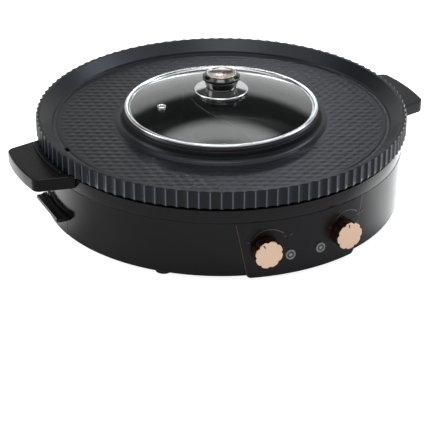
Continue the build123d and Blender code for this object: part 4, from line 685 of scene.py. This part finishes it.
panel_points = np.stack([panel_radius * np.cos(turn), panel_radius * np.sin(turn),
                         panel_low + rise[:, None] + 0 * turn], -1)
panel = make_piece("panel_moulding", panel_points,
                   grid_faces(len(rise), panel_columns, False, False))
if panel.data.polygons[len(panel.data.polygons) // 2].normal.y > 0:
    panel.data.flip_normals()
thick = panel.modifiers.new("wall", "SOLIDIFY")
thick.thickness, thick.offset = panel_wall * MM, -1.0
edge_round = panel.modifiers.new("edges", "BEVEL")
edge_round.width, edge_round.segments = panel_edge * MM, 3
edge_round.limit_method, edge_round.angle_limit = "ANGLE", math.radians(50)
finish_piece(panel, "base", "housing_plastic", satin_black, "control_panel")

# Bronze ink, pad printed: a thin satin film that stands a tenth of a millimetre proud. The same
# film also makes a painted highlight along the panel's left edge.
ink_and_painted_highlight = new_material("bronze_ink_and_edge_highlight", Base_Color=linear("#66564a"), Roughness=0.4,
                         Metallic=0.5)
grain(ink_and_painted_highlight, 0.5, 0.004, rough=(0.35, 0.45))
film_radius, film_depth = panel_radius + 0.12, 0.1
knob_spread, knob_height = 51.4, 43.3
knob_side_turn = math.asin(knob_spread / panel_radius)


def film_strip(name, turn, level):
    """Thin film between two edges, given by their turns about Z and their heights: the printed
    marks, and the painted highlight on the panel's edge.
    """
    points = np.stack([film_radius * np.cos(turn), film_radius * np.sin(turn), level + 0 * turn], -1)
    strip = make_piece(name, points, grid_faces(len(turn), 2, False, False))
    if strip.data.polygons[0].normal.y > 0:
        strip.data.flip_normals()
    film = strip.modifiers.new("ink", "SOLIDIFY")
    film.thickness, film.offset = film_depth * MM, -1.0
    finish_piece(strip, "base", "housing_plastic", ink_and_painted_highlight)


def printed_mark(name, side, start, stop, inner, outer):
    """Strip of ink round a knob from one clock angle to another, in degrees to the right of
    straight up, between two radii given at each of its ends."""
    angle = np.radians(np.linspace(start, stop, max(3, int(abs(stop - start) / 3) + 2)))
    inner_radius = np.linspace(*inner, len(angle))
    outer_radius = np.linspace(*outer, len(angle))
    reach = np.stack([inner_radius, outer_radius], -1)
    spread = side * knob_side_turn + reach * np.sin(angle)[:, None] / panel_radius
    film_strip(name, -np.pi / 2 + spread, knob_height + reach * np.cos(angle)[:, None])


for side, word in ((-1, "left"), (1, "right")):
    printed_mark(f"heat_arc_{word}", side, -32, 54, (20.1, 28.3), (20.4, 29.9))
    printed_mark(f"high_mark_{word}", side, 61, 65, (27.0, 27.0), (29.4, 29.4))
    printed_mark(f"high_tick_{word}", side, 67, 68.4, (33.0, 33.0), (38.0, 38.0))
    printed_mark(f"off_mark_{word}", side, -65, -61, (19.6, 19.6), (21.6, 21.6))

# a painted highlight along the panel's left edge: one thin strip of the same bronze film
line_edges = np.array([0.5, 1.1])    # in from the panel's edge
line_level = np.linspace(panel_low + 4.0, panel_high - 1.6, 24)
share = (line_level - panel_low) / (panel_high - panel_low)
line_turn = -np.pi / 2 - np.radians(foot_half_turn + (top_half_turn - foot_half_turn) * share)
film_strip("panel_edge_painted_highlight", line_turn[:, None] + line_edges[None, :] / panel_radius,
          line_level[:, None])

# ---- Control knobs --------------------------------------------------------------------------
# Eight-lobed knobs plated in rose gold: satin face, polished sides, and a dark pointer let
# into the face near one lobe. Each sits on a 6 mm thermostat shaft.

# Rose gold plate: pale and softly blurred on the satin face, deeper and sharp on the sides.
rose_face = new_material("rose_gold_satin", Base_Color=linear("#e6c6ae"), Metallic=1.0,
                         Roughness=0.34)
grain(rose_face, 0.4, 0.01, rough=(0.3, 0.4))
rose_side = new_material("rose_gold_polished", Base_Color=linear("#c08a68"), Metallic=1.0,
                         Roughness=0.12)
grain(rose_side, 2.0, 0.006, rough=(0.1, 0.16))
# Baked enamel: dark brown with a low sheen.
pointer_dark = new_material("pointer_enamel", Base_Color=linear("#2a1c14"), Roughness=0.35)
grain(pointer_dark, 0.6, 0.005, rough=(0.3, 0.4))
knob_radius, knob_back, knob_front = 17.2, 2.0, 16.3
lobe_dip, dip_width, lobe_turn = 1.55, 6.4, 45.0    # eight dips, and how wide each is in degrees
knob_toe_out = 5.0                                  # degrees that each shaft turns outwards
straight_up = np.array([0.0, 0.0, 1.0])


def facing(heading):
    """Directions out of the panel and to the right along it, at a heading about Z."""
    out = np.array([math.cos(heading), math.sin(heading), 0.0])
    return out, np.array([-out[1], out[0], 0.0])


def on_knob(points, side, lean):
    """Points in a knob's own frame (right, up, out), turned by its lean and put in place."""
    lean = math.radians(lean)
    across = points[..., 0] * math.cos(lean) - points[..., 1] * math.sin(lean)
    up = points[..., 0] * math.sin(lean) + points[..., 1] * math.cos(lean)
    out, sideways = facing(math.radians(-90 + knob_toe_out * side))
    middle = np.array([knob_spread * side, -math.sqrt(panel_radius**2 - knob_spread**2),
                       knob_height])
    return (middle + across[..., None] * sideways + points[..., 2:3] * out
            + up[..., None] * straight_up)


turn = np.linspace(0, 2 * np.pi, 192, endpoint=False)
# the edge is a circle less a bell-shaped dip midway between each two lobes
from_dip = (np.degrees(turn) - 90) % lobe_turn - lobe_turn / 2
lobed = knob_radius - lobe_dip * np.exp(-(from_dip / dip_width)**2)
# its section: how far in from that edge, and how far out from the panel
knob_profile = np.array([(-knob_radius, knob_back), (-6.0, knob_back), (-0.8, knob_back),
                         (-0.4, knob_back + 0.4), (-0.3, 6.0), (-0.1, 12.0),
                         (0.0, knob_front - 0.95), (-0.07, knob_front - 0.6),
                         (-0.27, knob_front - 0.27), (-0.6, knob_front - 0.07),
                         (-0.95, knob_front), (-1.1, knob_front), (-8.0, knob_front),
                         (-knob_radius, knob_front)])
for side, word, lean in ((-1, "left", 27.0), (1, "right", 5.0)):
    scale = np.clip(1 + knob_profile[:, :1] / knob_radius, 0, None) * lobed[None, :]
    points = np.stack([scale * np.cos(turn), scale * np.sin(turn),
                       knob_profile[:, 1:] + 0 * turn], -1)
    knob = make_piece(f"control_knob_{word}", on_knob(points, side, lean),
                      grid_faces(len(knob_profile), len(turn), False, True))
    finish_piece(knob, f"knob_{word}", "rose_gold", rose_face, f"knob_{word}")
    knob.data.materials.append(rose_side)
    out, _ = facing(math.radians(-90 + knob_toe_out * side))
    normals = np.zeros(len(knob.data.polygons) * 3)
    knob.data.polygons.foreach_get("normal", normals)
    on_side = normals.reshape(-1, 3) @ out < 0.6
    knob.data.polygons.foreach_set("material_index", on_side.astype(np.int32))
    # the pointer is a short bar set in near the edge, with a slightly rounded top
    bar = rounded([(-0.8, 11.0, 0.3), (0.8, 11.0, 0.3), (0.8, 15.5, 0.3), (-0.8, 15.5, 0.3)], 3)
    rings = [(0.0, knob_front - 0.5), (0.0, knob_front + 0.04), (0.12, knob_front + 0.12)]
    middle = bar.mean(0)
    layers = np.stack([np.c_[middle + (bar - middle) * (1 - inset), np.full(len(bar), z)]
                       for inset, z in rings])
    pointer = make_piece(f"pointer_{word}", on_knob(layers, side, lean),
                         capped_faces(len(rings), len(bar)))
    finish_piece(pointer, f"knob_{word}", "rose_gold", pointer_dark)

# ---- Indicator lenses -----------------------------------------------------------------------
# Clear moulded lenses pressed into the panel below the knobs, each with a raised ring round a
# shallow dome; the lamp behind is off, so they look grey.

# Clear resin over an unlit lamp: pale grey on the ring and the dome. A darker copy of the same
# resin is painted shade in the channel between them.
lens_ring = new_material("clear_moulding", Base_Color=linear("#a9acb0"), IOR=1.5,
                         Roughness=0.18, Transmission_Weight=0.25)
grain(lens_ring, 1.5, 0.01, rough=(0.15, 0.22))
lens_painted_shade = new_material("clear_moulding_painted_shade", Base_Color=linear("#3f4145"), IOR=1.5,
                         Roughness=0.15)
grain(lens_painted_shade, 1.5, 0.01, rough=(0.12, 0.18))
lens_radius, lens_spread, lens_height = 6.1, 19.7, 31.2
well_from, well_to = 1.9, 4.3    # the dark channel between the dome and the ring
lens_turn = math.asin(lens_spread / panel_radius)
lens_outline = rounded([(0.0, -1.0, 0), (lens_radius, -1.0, 0), (lens_radius, 1.95, 0.6),
                        (4.6, 1.95, 0.4), (4.0, 1.0, 0.4), (2.2, 1.5, 0.5), (0.0, 1.7, 0)])
for side, word in ((-1, "left"), (1, "right")):
    disc = turned(lens_outline, 64)
    out, sideways = facing(-math.pi / 2 + side * lens_turn)
    centre = panel_radius * out + lens_height * straight_up
    points = (centre + disc[..., :1] * sideways + disc[..., 1:2] * straight_up
              + disc[..., 2:3] * out)
    lens = make_piece(f"lens_{word}", points, grid_faces(len(lens_outline), 64, True, True))
    finish_piece(lens, "base", "lens_clear", lens_ring, f"indicator_lens_{word}")
    lens.data.materials.append(lens_painted_shade)
    middles = np.zeros(len(lens.data.polygons) * 3)
    lens.data.polygons.foreach_get("center", middles)
    reach = np.linalg.norm(np.cross(middles.reshape(-1, 3) / MM - centre, out), axis=1)
    # painted shade: the channel's faces take the darker copy of the resin
    in_shaded_channel = (reach > well_from) & (reach < well_to)
    lens.data.polygons.foreach_set("material_index", in_shaded_channel.astype(np.int32))

# ---- Handles --------------------------------------------------------------------------------
# Solid moulded grips screwed to the housing from inside, finely textured, with a raised rib
# along the root that keeps fingers off the hot rim.

# Phenolic from a spark-eroded mould: black with a low, broken sheen.
textured = new_material("textured_phenolic", IOR=1.5, Specular_IOR_Level=0.15)
grain(textured, 0.55, 0.04, rough=(0.22, 0.3), shades=("#0b0b0c", "#100f10"))
handle_top, handle_depth = base_high, 16.0
root_radius, reach_radius = 226.1, 270.0
root_half, tip_half, tip_corner = 57.0, 47.0, 10.0
grip_round, rib_circle, rib_half_turn, rib_end = 1.6, 236.0, 11.5, 0.05


def arc_points(radius, from_y, to_y, count):
    """Sharp corners along an arc about the Z axis, on its +X side, at even steps of Y: each X
    is the root of the radius squared less Y squared."""
    y = np.linspace(from_y, to_y, count)
    return [(math.sqrt(radius**2 - v**2), v, 0) for v in y]


tip_arc = arc_points(reach_radius, -tip_half, tip_half, 25)
plan = rounded(arc_points(root_radius, root_half, -root_half, 33)
               + [(*tip_arc[0][:2], tip_corner)] + tip_arc[6:-6]
               + [(*tip_arc[-1][:2], tip_corner)], 8)
step = np.roll(plan, -1, 0) - np.roll(plan, 1, 0)
inward = np.stack([-step[:, 1], step[:, 0]], -1) / np.linalg.norm(step, axis=1)[:, None]
# both long edges are quarter rounds, and the flat faces start a little further in
arc = np.linspace(0, np.pi / 2, 6)
insets = grip_round * np.concatenate([1 - np.sin(arc), 1 - np.cos(arc)])
levels = np.concatenate([handle_top - handle_depth + grip_round * (1 - np.cos(arc)),
                         handle_top - grip_round * (1 - np.sin(arc))])
insets = np.concatenate([[2.0], insets, [2.0]])
levels = np.concatenate([[levels[0]], levels, [levels[-1]]])
area = np.sum(plan[:, 0] * np.roll(plan[:, 1], -1) - np.roll(plan[:, 0], -1) * plan[:, 1]) / 2
inward *= np.sign(area)
grip_points = np.zeros((len(insets), len(plan), 3))
grip_points[..., :2] = plan[None] + inward[None] * insets[:, None, None]
grip_points[..., 2] = levels[:, None]
grip_faces = capped_faces(len(insets), len(plan))

# the rib's section shrinks to nothing in a quarter ellipse over each end
rib_turn = np.radians(np.linspace(-rib_half_turn, rib_half_turn, 72))
past = np.clip(np.abs(rib_turn) / np.radians(rib_half_turn) - (1 - rib_end), 0, 1) / rib_end
ends = np.sqrt(np.clip(1 - past**2, 0, 1))
rib_section = rounded([(-1.1, -1.0, 0), (1.1, -1.0, 0), (1.1, 3.0, 0.8), (-1.1, 3.0, 0.8)])
rib_radius = rib_circle + rib_section[None, :, 0] * ends[:, None]
rib_points = np.stack([rib_radius * np.cos(rib_turn)[:, None],
                       rib_radius * np.sin(rib_turn)[:, None],
                       handle_top + rib_section[None, :, 1] * ends[:, None]], -1)
rib_faces = grid_faces(len(rib_turn), len(rib_section), False, True)
for word, half in (("right", 1), ("left", -1)):
    flip = np.array([half, half, 1])
    handle = make_piece(f"grip_{word}", grip_points * flip, grip_faces)
    finish_piece(handle, "base", "handle_plastic", textured, f"handle_{word}")
    rib = make_piece(f"grip_rib_{word}", rib_points * flip, rib_faces)
    finish_piece(rib, "base", "handle_plastic", textured)

# ---- Inner pieces, feet, tray and fittings ---------------------------------------------------
# The pieces below keep their own shape. Pressed sheet is aluminised, fasteners are zinc
# plated, the element tube is oxidised, and the moulded fittings match the housing.

# Hot-dip aluminised sheet: pale grey with a faint mottle.
sheet_metal = new_material("aluminised_sheet", Base_Color=linear("#9b9c9e"), Metallic=0.9,
                           Roughness=0.4)
grain(sheet_metal, 3.0, 0.02, rough=(0.32, 0.5), shades=("#8b8c8f", "#a9aaac"))
# Fired enamel on sheet: satin black with a slight orange peel.
enamel = new_material("black_enamel_sheet", Roughness=0.4)
grain(enamel, 0.8, 0.03, rough=(0.35, 0.5), shades=("#121213", "#191919"))
# Bright zinc plate: light grey, a little clouded.
zinc = new_material("zinc_plate", Base_Color=linear("#b9bbbd"), Metallic=1.0, Roughness=0.3)
grain(zinc, 0.8, 0.01, rough=(0.25, 0.38))
# Steel tube after its first heat: dark brown oxide with lighter patches.
oxide = new_material("oxidised_tube", Metallic=0.7, Roughness=0.5)
grain(oxide, 1.4, 0.03, rough=(0.45, 0.6), shades=("#2a2725", "#403a35"))
# Cast aluminium, not machined: dull, light and grainy.
cast_heater = new_material("as_cast_aluminium", Metallic=0.9, Roughness=0.45)
grain(cast_heater, 1.2, 0.08, rough=(0.4, 0.55), shades=("#8d8f92", "#a3a5a8"))
# Moulded rubber: matt black.
rubber = new_material("moulded_rubber", Roughness=0.7)
grain(rubber, 0.7, 0.03, rough=(0.6, 0.75), shades=("#0d0d0d", "#141414"))
# Mineral-filled resin: chalky beige.
body_resin = new_material("thermostat_resin", Roughness=0.5)
grain(body_resin, 0.9, 0.02, rough=(0.45, 0.6), shades=("#b4ab97", "#c2b9a6"))
# Turned brass: warm and bright, with fine tool marks.
brass_pin = new_material("turned_brass", Base_Color=linear("#cdb27a"), Metallic=1.0,
                         Roughness=0.22)
grain(brass_pin, 0.6, 0.01, rough=(0.18, 0.28))
# Fired steatite: off-white and dull.
steatite = new_material("steatite", Roughness=0.5)
grain(steatite, 1.0, 0.02, rough=(0.45, 0.6), shades=("#dcd8ce", "#e8e5dc"))
# Silicone rubber: dark red with a low sheen.
silicone = new_material("silicone_sleeve", Roughness=0.45)
grain(silicone, 0.9, 0.02, rough=(0.4, 0.55), shades=("#7c1f1a", "#8e2a22"))
# Glow lamp's glass bulb: clear, with a faint orange cast.
neon = new_material("neon_bulb", Base_Color=linear("#e8b08a"), Roughness=0.1,
                    Transmission_Weight=0.6)
grain(neon, 2.0, 0.01, rough=(0.08, 0.14))

slot_materials = {
    "coated_aluminium": coated, "housing_plastic": gloss_black, "cover_steel": enamel,
    "handle_plastic": textured, "foot_rubber": rubber, "screw_steel": zinc,
    "shield_steel": sheet_metal, "element_steel": oxide, "heater_aluminium": cast_heater,
    "thermostat_body": body_resin, "rose_gold": rose_face, "lens_clear": lens_ring,
    "lamp_glass": neon, "pin_brass": brass_pin, "ceramic_white": steatite,
    "wire_sleeve": silicone, "lead_pvc": lead_pvc, "polished_steel": steel,
    "chrome_plate": chrome, "lid_glass": glass_material,
}
for entry in frame["record"]["subparts"]:
    node = frame["nodes"][entry["node"]]
    node.data.materials.clear()
    node.data.materials.append(slot_materials[entry["material_slot"]])
# the tray is moulded with the housing's gloss
frame["nodes"]["drip_tray"].data.materials[0] = gloss_black
